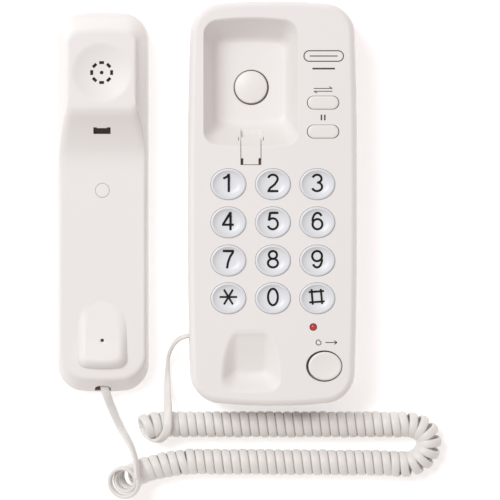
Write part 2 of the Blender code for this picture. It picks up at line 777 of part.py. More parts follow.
def jacks():
    end = -BASE_LENGTH / 2 + 0.0010
    add_jack(
        "line_jack",
        (LINE_JACK_X - LINE_NOSE_X, end, JACK_Z - LINE_NOSE_Z),
        (LINE_JACK_X + LINE_NOSE_X, end + 0.0150, JACK_Z + LINE_NOSE_Z),
        (LINE_JACK_X - 0.0049, end - 0.002, JACK_Z - 0.0034),
        (LINE_JACK_X + 0.0049, end + 0.0125, JACK_Z + 0.0034),
    )
    left = BASE_X - BASE_WIDTH / 2 + WALL + 0.0016
    add_jack(
        "base_cord_jack",
        (left, CORD_JACK_Y - 0.0060, 0.0127),
        (left + 0.0135, CORD_JACK_Y + 0.0060, BOARD_LOW - GAP),
        (left - 0.002, CORD_JACK_Y - 0.00415, JACK_Z - 0.0033),
        (left + 0.0120, CORD_JACK_Y + 0.00415, JACK_Z + 0.0033),
    )


def sounder():
    """The ringer's piezo disc in its housing, on the floor over the sound holes."""
    low = BASE_FLOOR + WALL + GAP
    profile = [
        (0.0, low + 0.0050),
        (SOUNDER_RADIUS - 0.001, low + 0.0050),
        (SOUNDER_RADIUS, low + 0.0040),
        (SOUNDER_RADIUS, low),
        (0.0, low),
    ]
    add_turned("sounder", profile, BLACK, (*SOUNDER, 0.0), steps=20)


def screw_profile(head_radius, head, shank_radius, length):
    """A pan-head screw, head down, with its underside of the head at z = 0."""
    return [
        (0.0, length),
        (shank_radius, length - 0.0012),
        (shank_radius, 0.0),
        (head_radius, 0.0),
        (head_radius, -head * 0.5),
        (head_radius * 0.7, -head),
        (0.0, -head),
    ]


def feet_and_screws():
    high, edge = 0.0030, 0.0006
    foot = [(0.0, high), (FOOT_RADIUS, high), (FOOT_RADIUS, edge), (FOOT_RADIUS - edge, 0.0), (0.0, 0.0)]
    for number, place in enumerate(FEET, 1):
        add_turned(f"foot_{number}", foot, RUBBER, (*place, 0.0), steps=16)
    shape = screw_profile(0.0030, 0.0022, 0.00115, 0.0160)
    for number, place in enumerate(SCREWS, 1):
        add_turned(f"base_screw_{number}", shape, STEEL, (*place, SCREW_SEAT - GAP), steps=12)
    shape = screw_profile(0.0020, 0.0013, 0.0008, 0.0062)
    for number, place in enumerate(BOARD_SCREWS, 1):
        add_turned(f"board_screw_{number}", shape, STEEL, (*place, BOARD_LOW - GAP), steps=8)


# ---------------------------------------------------------------- handset


def ear_outline(share, grow=0.0):
    """The ear boss, from its foot (0) to its top (1)."""

    def between(low, high):
        return low + share * (high - low)

    half = between(0.0226, 0.0190) + grow
    corner = between(0.0105, 0.0060) + grow
    return outline(
        (HANDSET_X - half, HANDSET_X + half),
        (between(0.0270, 0.0488) - grow, between(0.1002, 0.0927) + grow),
        (between(0.0040, 0.0040) + grow, corner),
        (between(0.0, 0.0006), between(0.0022, 0.0014)),
        arc_steps=4,
    )


def mouth_section(share, grow=0.0):
    """The mouth bump, whose top rises steadily towards the mouth end."""

    def between(low, high):
        return low + share * (high - low)

    y_low, y_high = between(MOUTH_BOTTOM_Y, -0.0862) - grow, MOUTH_TOP_Y + grow
    wide, narrow = between(0.0130, 0.0112) + grow, between(0.0083, 0.0072) + grow
    corner = between(0.0035, 0.0030) + grow
    points = outline((-wide, wide), (y_low, y_high), (corner, corner), (0.001, 0.0), arc_steps=4)
    made = []
    for x, y in points:
        rise = (y - y_low) / (y_high - y_low)
        made.append((HANDSET_X + x * (1 + rise * (narrow / wide - 1)), y))
    return made


def sloped_up(points, lift):
    """Gives the bump's upper outline its heights."""
    made = []
    for x, y in points:
        share = (MOUTH_TOP_Y - y) / (MOUTH_TOP_Y - MOUTH_BOTTOM_Y)
        made.append((x, y, HANDSET_FACE + lift + MOUTH_HEIGHT * share))
    return made


def handset_front_cover():
    wall = HANDSET_WALL
    body = [
        at_height(handset_outline(), HANDSET_SPLIT + GAP / 2),
        at_height(handset_outline(0.0006, 0.0051, 0.0006), 0.0150),
        at_height(handset_outline(0.0015, 0.0083, 0.0018), 0.0192),
        at_height(handset_outline(0.0034, 0.0098, 0.0040), HANDSET_FACE),
    ]
    ear = [
        at_height(ear_outline(0.0), HANDSET_FACE - 0.002),
        at_height(ear_outline(0.06), HANDSET_FACE + 0.0006),
        at_height(ear_outline(0.93), EAR_TOP - 0.0012),
        at_height(ear_outline(1.0, -0.0010), EAR_TOP),
    ]
    mouth = [at_height(mouth_section(0.0), HANDSET_FACE - 0.002), sloped_up(mouth_section(1.0), -0.0004)]
    cover = add_part("handset_front_cover", mesh_from("front_cover", lambda bm: add_loft(bm, body)), SHELL)
    join(
        cover,
        add_cutter("ear_boss", lambda bm: add_loft(bm, ear)),
        add_cutter("mouth_bump", lambda bm: add_loft(bm, mouth)),
    )

    body_inside = [
        at_height(handset_outline(wall, wall, wall), HANDSET_SPLIT - 0.002),
        at_height(handset_outline(0.0006 + wall, 0.0051 + wall, 0.0006 + wall), 0.0150),
        at_height(handset_outline(0.0034 + wall, 0.0098 + wall, 0.0040 + wall), HANDSET_FACE - wall),
    ]
    ear_inside = [
        at_height(ear_outline(0.0, -wall - 0.0012), HANDSET_FACE - wall - 0.002),
        at_height(ear_outline(0.0, -wall - 0.0012), HANDSET_FACE - 0.001),
        at_height(ear_outline(0.8, -wall), EAR_CEILING),
    ]
    mouth_inside = [
        at_height(mouth_section(0.0, -wall), HANDSET_FACE - wall - 0.002),
        sloped_up(mouth_section(1.0, -wall), -wall - 0.0004),
    ]

    def plug_boss(bm):
        add_cylinder(bm, (HANDSET_X, PLUG_Y), 0.0062, 0.0120, HANDSET_FACE + 0.001, 16)

    hollow = add_cutter("front_cover_hollow", lambda bm: add_loft(bm, body_inside))
    join(
        hollow,
        add_cutter("ear_hollow", lambda bm: add_loft(bm, ear_inside)),
        add_cutter("mouth_hollow", lambda bm: add_loft(bm, mouth_inside)),
    )
    cut(hollow, add_cutter("plug_boss", plug_boss))
    holes = add_cutter("front_cover_holes", add_front_holes), add_cutter("plug_bore", add_plug_bore)
    cut(cover, hollow, ear_dish(), *holes)


def ear_dish():
    """A shallow spherical cutter over the ear boss."""
    sphere = (EAR_DISH_RADIUS**2 + EAR_DISH_DEPTH**2) / (2 * EAR_DISH_DEPTH)
    above = 0.001
    profile = [(0.0, above), (EAR_DISH_RADIUS * 1.1, above)]
    for step in range(6):
        radius = EAR_DISH_RADIUS * (5 - step) / 5
        sag = math.sqrt(sphere**2 - radius**2) - (sphere - EAR_DISH_DEPTH)
        profile.append((radius, -sag))
    obj = bpy.data.objects.new("ear_dish", turned_mesh("ear_dish", profile))
    CUTTERS.objects.link(obj)
    obj.location = (HANDSET_X, EAR_Y, EAR_TOP)
    obj.hide_render = True
    obj.display_type = "WIRE"
    add_turn(obj, 28)
    return obj


def add_front_holes(bm):
    ear = (HANDSET_X, EAR_Y)
    low, high = EAR_CEILING - 0.002, EAR_TOP + 0.001
    add_cylinder(bm, ear, 0.0010, low, high, 10)
    for step in range(8):
        turn = Matrix.Rotation(math.pi * step / 4, 4, "Z")
        place = Matrix.Translation((ear[0], ear[1], (low + high) / 2)) @ turn
        place = place @ Matrix.Translation((0.0053, 0, 0)) @ Matrix.Diagonal((0.0017, 0.0024, high - low, 1))
        bmesh.ops.create_cube(bm, size=1, matrix=place)
    half, width = HOOK_SLOT_LENGTH / 2, HOOK_SLOT_WIDTH / 2
    low, high = (HANDSET_X - half, HOOK_SLOT_Y - width, 0.020), (HANDSET_X + half, HOOK_SLOT_Y + width, 0.037)
    add_box(bm, low, high)
    add_cylinder(bm, (HANDSET_X, MIC_Y), 0.0008, 0.018, 0.032, 8)
    add_cylinder(bm, (HANDSET_X, PLUG_Y), PLUG_RADIUS + GAP, 0.0138, HANDSET_FACE + 0.002, 20)
    add_jack_arch(bm)


def add_plug_bore(bm):
    add_cylinder(bm, (HANDSET_X, PLUG_Y), 0.0016, 0.0100, 0.0150, 10)


def add_jack_arch(bm):
    """The arched mouth of the cord's socket in the sloping end wall."""
    half, shoulder, crown = 0.0043, 0.0108, 0.0147
    points = [(half, HANDSET_SPLIT - 0.002), (half, shoulder)]
    for step in range(1, 6):
        angle = math.pi * step / 6
        points.append((half * math.cos(angle), shoulder + (crown - shoulder) * math.sin(angle)))
    points += [(-half, shoulder), (-half, HANDSET_SPLIT - 0.002)]
    near = [(HANDSET_X + x, HANDSET_LOW - 0.004, z) for x, z in points]
    far = [(HANDSET_X + x, HANDSET_LOW + 0.010, z) for x, z in points]
    add_loft(bm, [near, far])


def handset_back_cover():
    rounding = ((0.0078, 0.0), (0.0042, 0.0009), (0.0016, 0.0028), (0.0004, 0.0052))
    sections = [at_height(handset_outline(inset, inset, inset), z) for inset, z in rounding]
    sections.append(at_height(handset_outline(), HANDSET_SPLIT - GAP / 2))
    cover = add_part("handset_back_cover", mesh_from("back_cover", lambda bm: add_loft(bm, sections)), SHELL)
    wall = HANDSET_WALL
    inside = [
        at_height(handset_outline(0.0078, 0.0078, 0.0078), wall),
        at_height(handset_outline(0.0016 + wall, 0.0016 + wall, 0.0016 + wall), 0.0042),
        at_height(handset_outline(wall, wall, wall), HANDSET_SPLIT + 0.002),
    ]
    hollow = add_cutter("back_cover_tray", lambda bm: add_loft(bm, inside))

    def post(bm):
        add_cylinder(bm, (HANDSET_X, PLUG_Y), 0.0036, 0.001, HANDSET_SPLIT + 0.003, 14)

    def bore(bm):
        add_cylinder(bm, (HANDSET_X, PLUG_Y), 0.0015, 0.0030, HANDSET_SPLIT + 0.003, 10)

    cut(hollow, add_cutter("back_cover_post", post))
    cut(cover, hollow, add_cutter("back_cover_bore", bore))


def handset_fittings():
    """What the handset holds: the receiver, the microphone, the weight, the socket and the screw."""
    place = (HANDSET_X, EAR_Y, 0.0)
    top = EAR_CEILING - GAP
    gasket = [(0.0105, top), (0.0140, top), (0.0140, top - 0.0010), (0.0105, top - 0.0010), (0.0105, top)]
    add_turned("receiver_gasket", gasket, RUBBER, place, steps=20)
    top -= 0.0010 + GAP
    capsule = [(0.0, top), (0.0140, top), (0.0150, top - 0.0015), (0.0150, top - 0.0060)]
    capsule += [(0.0095, top - 0.0085), (0.0, top - 0.0085)]
    add_turned("receiver_capsule", capsule, BLACK, place, steps=20)

    place = (HANDSET_X, MIC_Y, 0.0)
    top = 0.0212
    boot = [(0.0012, top), (0.0060, top), (0.0060, top - 0.0052), (0.0052, top - 0.0052)]
    boot += [(0.0052, top - 0.0010), (0.0012, top - 0.0010), (0.0012, top)]
    add_turned("microphone_boot", boot, RUBBER, place, steps=16)
    top -= 0.0010 + GAP
    microphone = [(0.0, top), (0.0048, top), (0.0048, top - 0.0045), (0.0, top - 0.0045)]
    add_turned("microphone", microphone, STEEL, place, 16)

    def weight(bm):
        half_width, low = 0.0130, HANDSET_WALL + GAP
        add_box(bm, (HANDSET_X - half_width, -0.0480, low), (HANDSET_X + half_width, -0.0080, 0.0085))

    slab = add_part("handset_weight", mesh_from("handset_weight", weight), STEEL)
    bevel = slab.modifiers.new("soft_edges", "BEVEL")
    bevel.width = 0.0012
    bevel.segments = 1

    front = HANDSET_LOW + 0.0086
    add_jack(
        "handset_cord_jack",
        (HANDSET_X - 0.0058, front, HANDSET_SPLIT - 0.0022),
        (HANDSET_X + 0.0058, front + 0.0138, 0.0156),
        (HANDSET_X - 0.00415, front - 0.002, HANDSET_JACK_Z - 0.0033),
        (HANDSET_X + 0.00415, front + 0.0122, HANDSET_JACK_Z + 0.0033),
    )
    place = (HANDSET_X, PLUG_Y, 0.0)
    top = HANDSET_FACE - 0.0001
    plug = [(0.0, top), (PLUG_RADIUS - 0.0003, top), (PLUG_RADIUS, top - 0.0003), (PLUG_RADIUS, top - 0.0026)]
    add_turned("screw_plug", [*plug, (0.0, top - 0.0026)], BUTTON, place, steps=20)
    low, head, shank = 0.0045, 0.0138 + GAP, 0.00115
    screw = [(0.0, head + 0.0021), (0.0021, head + 0.0021), (0.0031, head + 0.0010), (0.0031, head)]
    screw += [(shank, head), (shank, low + 0.0012), (0.0, low)]
    add_turned("handset_screw", screw, STEEL, place, steps=12)


# ---------------------------------------------------------------- cord


def add_plug(name, low, high):
    """A modular plug: a clear block with soft edges."""
    plug = add_part(name, mesh_from(name, lambda bm: add_box(bm, low, high)), CLEAR)
    bevel = plug.modifiers.new("soft_edges", "BEVEL")
    bevel.width = 0.0004
    bevel.segments = 1


def curly_cord():
    half_width, half_height, length = 0.0038, 0.0029, 0.0117
    front = HANDSET_LOW + 0.0074
    add_plug(
        "cord_handset_plug",
        (HANDSET_X - half_width, front, HANDSET_JACK_Z - half_height),
        (HANDSET_X + half_width, front + length, HANDSET_JACK_Z + half_height),
    )
    left = BASE_X - BASE_WIDTH / 2 + 0.0020
    add_plug(
        "cord_base_plug",
        (left, CORD_JACK_Y - half_width, JACK_Z - half_height),
        (left + length, CORD_JACK_Y + half_width, JACK_Z + half_height),
    )
    add_tube("cord_handset_tail", smooth_route(HANDSET_TAIL, 0.0040), CORD_RADIUS, CORD)
    add_tube("cord_base_tail", smooth_route(BASE_TAIL, 0.0040), CORD_RADIUS, CORD)
    height = COIL_RADIUS + 0.0001
    for name, run in (("cord_coil_lower", LOWER_RUN), ("cord_coil_upper", UPPER_RUN)):
        points = [(x, y, height) for x, y in run]
        add_tube(name, smooth_route(points, 0.0080), COIL_RADIUS, CORD, resolution=3)


base_top_cover()
base_bottom_cover()
main_board()
key_mat()
keypad()
function_buttons()
lamp_lens()
hook_parts()
wall_hook_tab()
slide_switch("ringer", RINGER_Y, RINGER_SLOT, RINGER_KNOB)
slide_switch("tone", TONE_Y, TONE_SLOT, TONE_KNOB)
jacks()
sounder()
feet_and_screws()
handset_front_cover()
handset_back_cover()
handset_fittings()
curly_cord()
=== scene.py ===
"""The looks of a slimline wall telephone: its base, the handset beside it and the curly cord between them.

Metres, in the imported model's frame: +Z up, +Y towards the ear end, +X to the right of someone who reads
the keys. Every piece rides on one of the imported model's bodies, except the handset's cord, which stretches
between two of them.
"""

import math

import bmesh
import bpy
import numpy as np
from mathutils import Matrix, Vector


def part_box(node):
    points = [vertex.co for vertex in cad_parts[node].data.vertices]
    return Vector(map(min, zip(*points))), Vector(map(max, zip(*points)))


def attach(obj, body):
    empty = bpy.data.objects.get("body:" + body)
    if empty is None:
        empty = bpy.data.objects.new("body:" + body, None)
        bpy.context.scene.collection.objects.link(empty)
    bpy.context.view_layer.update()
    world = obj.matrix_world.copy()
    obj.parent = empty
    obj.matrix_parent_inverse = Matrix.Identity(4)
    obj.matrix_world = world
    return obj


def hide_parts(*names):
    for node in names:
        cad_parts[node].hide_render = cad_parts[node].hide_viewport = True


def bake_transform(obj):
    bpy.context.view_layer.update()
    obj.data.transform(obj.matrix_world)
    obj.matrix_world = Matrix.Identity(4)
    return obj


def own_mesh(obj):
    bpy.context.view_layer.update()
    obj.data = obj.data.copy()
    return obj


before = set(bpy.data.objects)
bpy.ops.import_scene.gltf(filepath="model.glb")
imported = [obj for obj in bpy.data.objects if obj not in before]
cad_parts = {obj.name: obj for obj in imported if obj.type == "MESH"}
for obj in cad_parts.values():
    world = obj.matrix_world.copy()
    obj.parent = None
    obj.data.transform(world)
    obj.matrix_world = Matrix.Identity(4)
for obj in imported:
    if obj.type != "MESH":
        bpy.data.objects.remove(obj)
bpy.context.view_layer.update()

# ---------------------------------------------------------------- sizes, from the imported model

BASE_LOW, BASE_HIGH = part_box("base_top_cover")
BASE_X = (BASE_LOW.x + BASE_HIGH.x) / 2
BASE_HALF_WIDTH = (BASE_HIGH.x - BASE_LOW.x) / 2
BASE_HALF_LENGTH = (BASE_HIGH.y - BASE_LOW.y) / 2
TOP, SPLIT = BASE_HIGH.z, BASE_LOW.z
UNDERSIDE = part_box("base_bottom_cover")[0].z
BASE_CORNER, BASE_END_BOW, BASE_SIDE_BOW = 0.0145, 0.0032, 0.0019
WALL = 0.0024
SEAM = 0.0003  # chamfer of the edges where two covers meet

CRADLE_X = 0.0235
WELL_FLOOR, RECESS_FLOOR = 0.020, 0.030
TAB_HALF_WIDTH = 0.00525
KEY_NAMES = (*"123456789", "star", "0", "hash")
PILL_BUTTONS = ("flash_button", "hold_button")
FLANGE = 0.0009  # how far a cap's skirt reaches under the cover
PAST = 0.002  # how far a cutter reaches past a face that it opens
OPEN_TOP = TOP + 0.004  # where the cutters of hollows end
CAP_CLEARANCE = 0.00012  # around a keycap, and the bevel at the edge of its hole
SCREWS = ((-0.0005, 0.0993), (0.0705, 0.0993), (-0.0005, -0.0993), (0.0705, -0.0993))
SCREW_SEAT = 0.0056
FEET = ((0.0060, 0.0920), (0.0640, 0.0920), (0.0060, -0.0920), (0.0640, -0.0920))
KEYHOLES = ((BASE_X, 0.050), (BASE_X, -0.050))
SOUNDER = (0.0150, -0.0250)
LINE_JACK_X, JACK_Z, CORD_JACK_Y = 0.0500, 0.0180, -0.0710
SWITCHES = {"ringer": (0.0598, 0.0102), "tone": (0.0400, 0.0144)}  # centre and length of each slot
SWITCH_Z, SWITCH_HALF_HEIGHT = 0.0240, 0.0021

HANDSET_LOW, HANDSET_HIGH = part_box("handset_front_cover")
HANDSET_X = (HANDSET_LOW.x + HANDSET_HIGH.x) / 2
HANDSET_HALF_WIDTH = (HANDSET_HIGH.x - HANDSET_LOW.x) / 2
HANDSET_SPLIT, HANDSET_FACE, EAR_TOP = HANDSET_LOW.z, 0.021, HANDSET_HIGH.z
HANDSET_CORNER, HANDSET_END_BOW, HANDSET_WALL = 0.0125, 0.0024, 0.0022
HANDSET_ENDS = (-0.1010, 0.1029)
EAR_Y, EAR_DISH_RADIUS, EAR_DISH_DEPTH = 0.0695, 0.01525, 0.0025
EAR_CEILING = EAR_TOP - EAR_DISH_DEPTH - 0.0020
SIDE_STEPS, ARC_STEPS = 200, 14  # of the handset's rings
MOUTH_TOP_Y, MOUTH_BOTTOM_Y, MOUTH_HEIGHT, MIC_Y = -0.0520, -0.0888, 0.0070, -0.0733
HOOK_SLOT_Y, PLUG_Y, PLUG_RADIUS = 0.0387, 0.0069, 0.00375


def middle(node):
    low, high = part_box(node)
    return (low + high) / 2


def cap_size(node):
    """Half the width and half the length of a key's or button's cap, without the flange at its foot."""
    low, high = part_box(node)
    return (high.x - low.x) / 2 - FLANGE, (high.y - low.y) / 2 - FLANGE


# ---------------------------------------------------------------- camera, floor and lights

VIEW_CENTRE, VIEW_WIDTH, VIEW_HEIGHT = (0.0230, -0.0250), 0.2676, 3.0
LEVEL = 0.020  # the height that the view's width is measured at
LIT_SPOT = Vector((0.02, -0.02, 0.0))
FLOOR_REACH = 15


def set_inputs(shader_node, **values):
    for name, value in values.items():
        shader_node.inputs[name.replace("_", " ")].default_value = value


def add_camera():
    camera = bpy.data.cameras.new("camera")
    camera.lens = camera.sensor_width * (VIEW_HEIGHT - LEVEL) / VIEW_WIDTH
    camera.clip_end = 50
    placed = bpy.data.objects.new("camera", camera)
    placed.location = (*VIEW_CENTRE, VIEW_HEIGHT)
    bpy.context.scene.collection.objects.link(placed)
    bpy.context.scene.camera = placed


def add_light(name, place, size, power, colour):
    light = bpy.data.lights.new(name, "AREA")
    light.size, light.energy, light.color = size, power, colour
    placed = bpy.data.objects.new(name, light)
    placed.location = place
    placed.rotation_euler = (LIT_SPOT - Vector(place)).to_track_quat("-Z", "Y").to_euler()
    bpy.context.scene.collection.objects.link(placed)


def add_studio():
    mesh = bpy.data.meshes.new("floor")
    corners = [(x * FLOOR_REACH, y * FLOOR_REACH, 0) for x, y in ((-1, -1), (1, -1), (1, 1), (-1, 1))]
    mesh.from_pydata(corners, [], [(0, 1, 2, 3)])
    floor = bpy.data.objects.new("floor", mesh)
    bpy.context.scene.collection.objects.link(floor)
    paper = bpy.data.materials.new("white_paper")
    paper.use_nodes = True
    shader = paper.node_tree.nodes["Principled BSDF"]
    set_inputs(shader, Base_Color=(0.93, 0.93, 0.93, 1), Roughness=0.9, Specular_IOR_Level=0.0)
    set_inputs(shader, Emission_Color=(1, 1, 1, 1), Emission_Strength=0.36)
    mesh.materials.append(paper)
    world = bpy.data.worlds.new("studio")
    world.use_nodes = True
    set_inputs(world.node_tree.nodes["Background"], Color=(1.0, 0.915, 0.89, 1), Strength=0.57)
    bpy.context.scene.world = world
    add_light("key_light", (-1.30, 1.10, 2.65), 1.575, 56.5, (0.94, 0.98, 1.0))
    bpy.context.scene.view_settings.view_transform = "Standard"


# ---------------------------------------------------------------- materials


def node(tree, kind, **values):
    made = tree.nodes.new(kind)
    for name, value in values.items():
        if hasattr(made, name):
            setattr(made, name, value)
        else:
            set_inputs(made, **{name: value})
    return made


def grained(name, colour, roughness, grain=2600.0, depth=0.00001, tint=0.02, **shader_values):
    """A moulded material: fine grain in its relief and roughness, and a slow drift of its colour."""
    made = bpy.data.materials.new(name)
    made.use_nodes = True
    tree = made.node_tree
    shader = tree.nodes["Principled BSDF"]
    set_inputs(shader, **shader_values)
    place = node(tree, "ShaderNodeTexCoord")
    fine = node(tree, "ShaderNodeTexNoise", Scale=grain, Detail=3.0)
    slow = node(tree, "ShaderNodeTexNoise", Scale=22.0, Detail=2.0)
    bump = node(tree, "ShaderNodeBump", Distance=depth, Strength=1.0)
    rough = node(tree, "ShaderNodeMapRange", To_Min=roughness * 0.85, To_Max=roughness * 1.15)
    darker, lighter = ((*(min(1, level * share) for level in colour), 1) for share in (1 - tint, 1 + tint))
    mix = node(tree, "ShaderNodeMix", data_type="RGBA", A=darker, B=lighter)
    links = (
        (place, "Object", fine, "Vector"),
        (place, "Object", slow, "Vector"),
        (fine, "Fac", bump, "Height"),
        (bump, "Normal", shader, "Normal"),
        (fine, "Fac", rough, "Value"),
        (rough, "Result", shader, "Roughness"),
        (slow, "Fac", mix, "Factor"),
        (mix, "Result", shader, "Base Color"),
    )
    for source, output, target, socket in links:
        tree.links.new(source.outputs[output], target.inputs[socket])
    return made


SHELL = grained("shell_plastic", (0.835, 0.812, 0.797), 0.42, Specular_IOR_Level=0.3)
BUTTON = grained("button_plastic", (0.835, 0.808, 0.788), 0.36)
KEYCAP = grained("keycap_plastic", (0.760, 0.780, 0.812), 0.32, depth=0.000002)
INK = grained("black_ink", (0.006, 0.006, 0.006), 0.60, Specular_IOR_Level=0.2)
PRINT = grained("grey_print", (0.045, 0.042, 0.045), 0.55)
JACKET = grained("cord_jacket", (0.800, 0.780, 0.755), 0.46, grain=1800.0, depth=0.00002)
BLACK = grained("black_plastic", (0.020, 0.019, 0.019), 0.42)
# Painted shade: these two colours stand for the shadow seen in gaps, notches and holes.
SHADE_BROWN = grained("painted_shade_brown", (0.17, 0.115, 0.085), 0.6)
SHADE_DARK = grained("painted_shade_dark", (0.050, 0.034, 0.026), 0.6)
RUBBER = grained("grey_rubber", (0.16, 0.16, 0.17), 0.75, depth=0.00003)
STEEL = grained("steel", (0.60, 0.60, 0.61), 0.32, Metallic=1.0)
BOARD = grained("green_board", (0.05, 0.17, 0.07), 0.45, tint=0.25)
CLEAR = grained("clear_plastic", (0.83, 0.85, 0.86), 0.10, depth=0.000002, Transmission_Weight=0.75)
LENS = grained("red_lens", (0.60, 0.026, 0.024), 0.12, depth=0.000002, Coat_Weight=0.6)

# ---------------------------------------------------------------- outlines


def outline(x_range, y_range, corners, bows=(0.0, 0.0), arc_steps=12, end_steps=12, side_steps=1):
    """A counter-clockwise rounded rectangle. corners and bows are those of the low and high Y ends."""
    (x_low, x_high), (y_low, y_high) = x_range, y_range
    low, high = corners
    run_y = y_high - y_low - low - high
    places = (  # centre, radius, start angle, then the straight run that follows and its steps
        (x_high - low, y_low + low, low, -90, (0, run_y), side_steps),
        (x_high - high, y_high - high, high, 0, (x_low - x_high + 2 * high, 0), end_steps),
        (x_low + high, y_high - high, high, 90, (0, -run_y), side_steps),
        (x_low + low, y_low + low, low, 180, (x_high - x_low - 2 * low, 0), end_steps),
    )
    points = []
    for cx, cy, radius, start, run, steps in places:
        for step in range(arc_steps + 1):
            angle = math.radians(start + 90 * step / arc_steps)
            points.append((cx + radius * math.cos(angle), cy + radius * math.sin(angle)))
        x, y = points[-1]
        for step in range(1, steps):
            points.append((x + run[0] * step / steps, y + run[1] * step / steps))
    made = []
    for x, y in points:
        across = (2 * x - x_low - x_high) / (x_high - x_low)
        up = (2 * y - y_low - y_high) / (y_high - y_low)
        made.append((x, y - up * (bows[1] if up > 0 else bows[0]) * across**2))
    return made


def base_outline(inset=0.0, arc_steps=12):
    """The base's outline, whose long sides also bow a little."""
    half_width, half_length = BASE_HALF_WIDTH - inset, BASE_HALF_LENGTH - inset
    corner = max(BASE_CORNER - inset, 0.004)
    spans = (-half_width, half_width), (-half_length, half_length)
    points = outline(*spans, (corner, corner), (BASE_END_BOW, BASE_END_BOW), arc_steps, side_steps=24)
    narrow = BASE_SIDE_BOW / half_width
    return [(BASE_X + x * (1 - narrow * abs(y / half_length) ** 2.5), y) for x, y in points]


def handset_outline(side=0.0, low_end=0.0, high_end=0.0, side_steps=24, arc_steps=12):
    """The handset's outline, moved in by its own amount at the sides, the mouth end and the ear end."""
    half = HANDSET_HALF_WIDTH - side
    corner = min(HANDSET_CORNER - side / 2, 0.98 * half)
    return outline(
        (HANDSET_X - half, HANDSET_X + half),
        (HANDSET_ENDS[0] + low_end, HANDSET_ENDS[1] - high_end),
        (corner, corner),
        (HANDSET_END_BOW, HANDSET_END_BOW),
        arc_steps,
        side_steps=side_steps,
    )


def ellipse(centre, rx, ry, steps=64):
    angles = [2 * math.pi * step / steps for step in range(steps)]
    return [(centre[0] + rx * math.cos(angle), centre[1] + ry * math.sin(angle)) for angle in angles]


def pill(centre, half_length, radius, steps=20):
    """A stadium shape along X."""
    points = []
    for side, start in ((1, -90), (-1, 90)):
        for step in range(steps + 1):
            angle = math.radians(start + 180 * step / steps)
            x = centre[0] + side * (half_length - radius) + radius * math.cos(angle)
            points.append((x, centre[1] + radius * math.sin(angle)))
    return points


def at(points, z):
    return [(x, y, z) for x, y in points]


def quarter_turn(steps, first=0):
    """The angles of a quarter turn in even steps, from the first step that is wanted."""
    return [math.pi / 2 * step / steps for step in range(first, steps + 1)]


def between(low, high, share):
    return low + share * (high - low)


def soft_min(a, b, width):
    """The smaller of two values, rounded where they are within width of each other."""
    share = np.clip(0.5 + 0.5 * (b - a) / width, 0, 1)
    return b + (a - b) * share - width * share * (1 - share)


def soft_max(a, b, width):
    return -soft_min(-a, -b, width)


# ---------------------------------------------------------------- solids


class Shape:
    """Closed solids, collected into one mesh."""

    def __init__(self):
        self.points, self.faces = [], []

    def add(self, points, faces):
        start = len(self.points)
        self.points += [tuple(point) for point in points]
        self.faces += [tuple(start + i for i in face) for face in faces]
        return self

    def loft(self, sections):
        """Through sections of equal point count."""
        count, rows = len(sections[0]), len(sections)
        faces = [tuple(reversed(range(count))), tuple(range((rows - 1) * count, rows * count))]
        for row in range(rows - 1):
            low, high = row * count, (row + 1) * count
            for i in range(count):
                j = (i + 1) % count
                faces.append((low + i, low + j, high + j, high + i))
        return self.add([point for section in sections for point in section], faces)

    def turn(self, place, profile, steps=64):
        """A profile of (radius, height) pairs, from the top of the axis to its bottom, turned about Z."""
        points, faces, rings = [], [], []
        for radius, height in profile:
            ring = []
            for step in range(steps if radius > 0 else 1):
                angle = 2 * math.pi * step / steps
                ring.append(len(points))
                x, y = radius * math.cos(angle), radius * math.sin(angle)
                points.append((place[0] + x, place[1] + y, height))
            rings.append(ring)
        for above, below in zip(rings, rings[1:], strict=False):
            for i in range(steps):
                j = (i + 1) % steps
                face = [above[i % len(above)], below[i % len(below)]]
                face += [below[j % len(below)], above[j % len(above)]]
                faces.append(tuple(dict.fromkeys(face)))
        return self.add(points, faces)

    def tube(self, place, profile, steps=72):
        """A closed profile of (radius, height) pairs clear of the axis, turned about Z."""
        points, faces, count = [], [], len(profile)
        for step in range(steps):
            angle = 2 * math.pi * step / steps
            for radius, height in profile:
                x, y = radius * math.cos(angle), radius * math.sin(angle)
                points.append((place[0] + x, place[1] + y, height))
        for step in range(steps):
            here, there = step * count, (step + 1) % steps * count
            for i in range(count):
                j = (i + 1) % count
                faces.append((here + i, here + j, there + j, there + i))
        return self.add(points, faces)

    def drum(self, place, radius, low, high, steps=48):
        return self.turn(place, ((0, high), (radius, high), (radius, low), (0, low)), steps)

    def prism(self, points, low, high):
        return self.loft([at(points, low), at(points, high)])

    def block(self, low, high):
        corners = ((low[0], low[1]), (high[0], low[1]), (high[0], high[1]), (low[0], high[1]))
        return self.prism(corners, low[2], high[2])

    def object(self, name, material=None):
        mesh = bpy.data.meshes.new(name)
        mesh.from_pydata(self.points, [], self.faces)
        bm = bmesh.new()
        bm.from_mesh(mesh)
        bmesh.ops.recalc_face_normals(bm, faces=bm.faces)
        bm.to_mesh(mesh)
        bm.free()
        made = bpy.data.objects.new(name, mesh)
        bpy.context.scene.collection.objects.link(made)
        if material:
            mesh.materials.append(material)
        return made


def shape_with(obj, joined=(), cut=()):
    """Joins obj with some solids, then cuts it with others, and removes them all."""
    steps = [("UNION", other) for other in joined] + [("DIFFERENCE", other) for other in cut]
    for operation, other in steps:
        modifier = obj.modifiers.new(operation, "BOOLEAN")
        modifier.operation, modifier.object = operation, other
    evaluated = obj.evaluated_get(bpy.context.evaluated_depsgraph_get())
    mesh = bpy.data.meshes.new_from_object(evaluated)
    obj.modifiers.clear()
    obj.data = mesh
    for _, other in steps:
        bpy.data.objects.remove(other, do_unlink=True)
    bm = bmesh.new()
    bm.from_mesh(mesh)
    bmesh.ops.remove_doubles(bm, verts=bm.verts, dist=0.000001)
    bm.to_mesh(mesh)
    bm.free()
    return obj


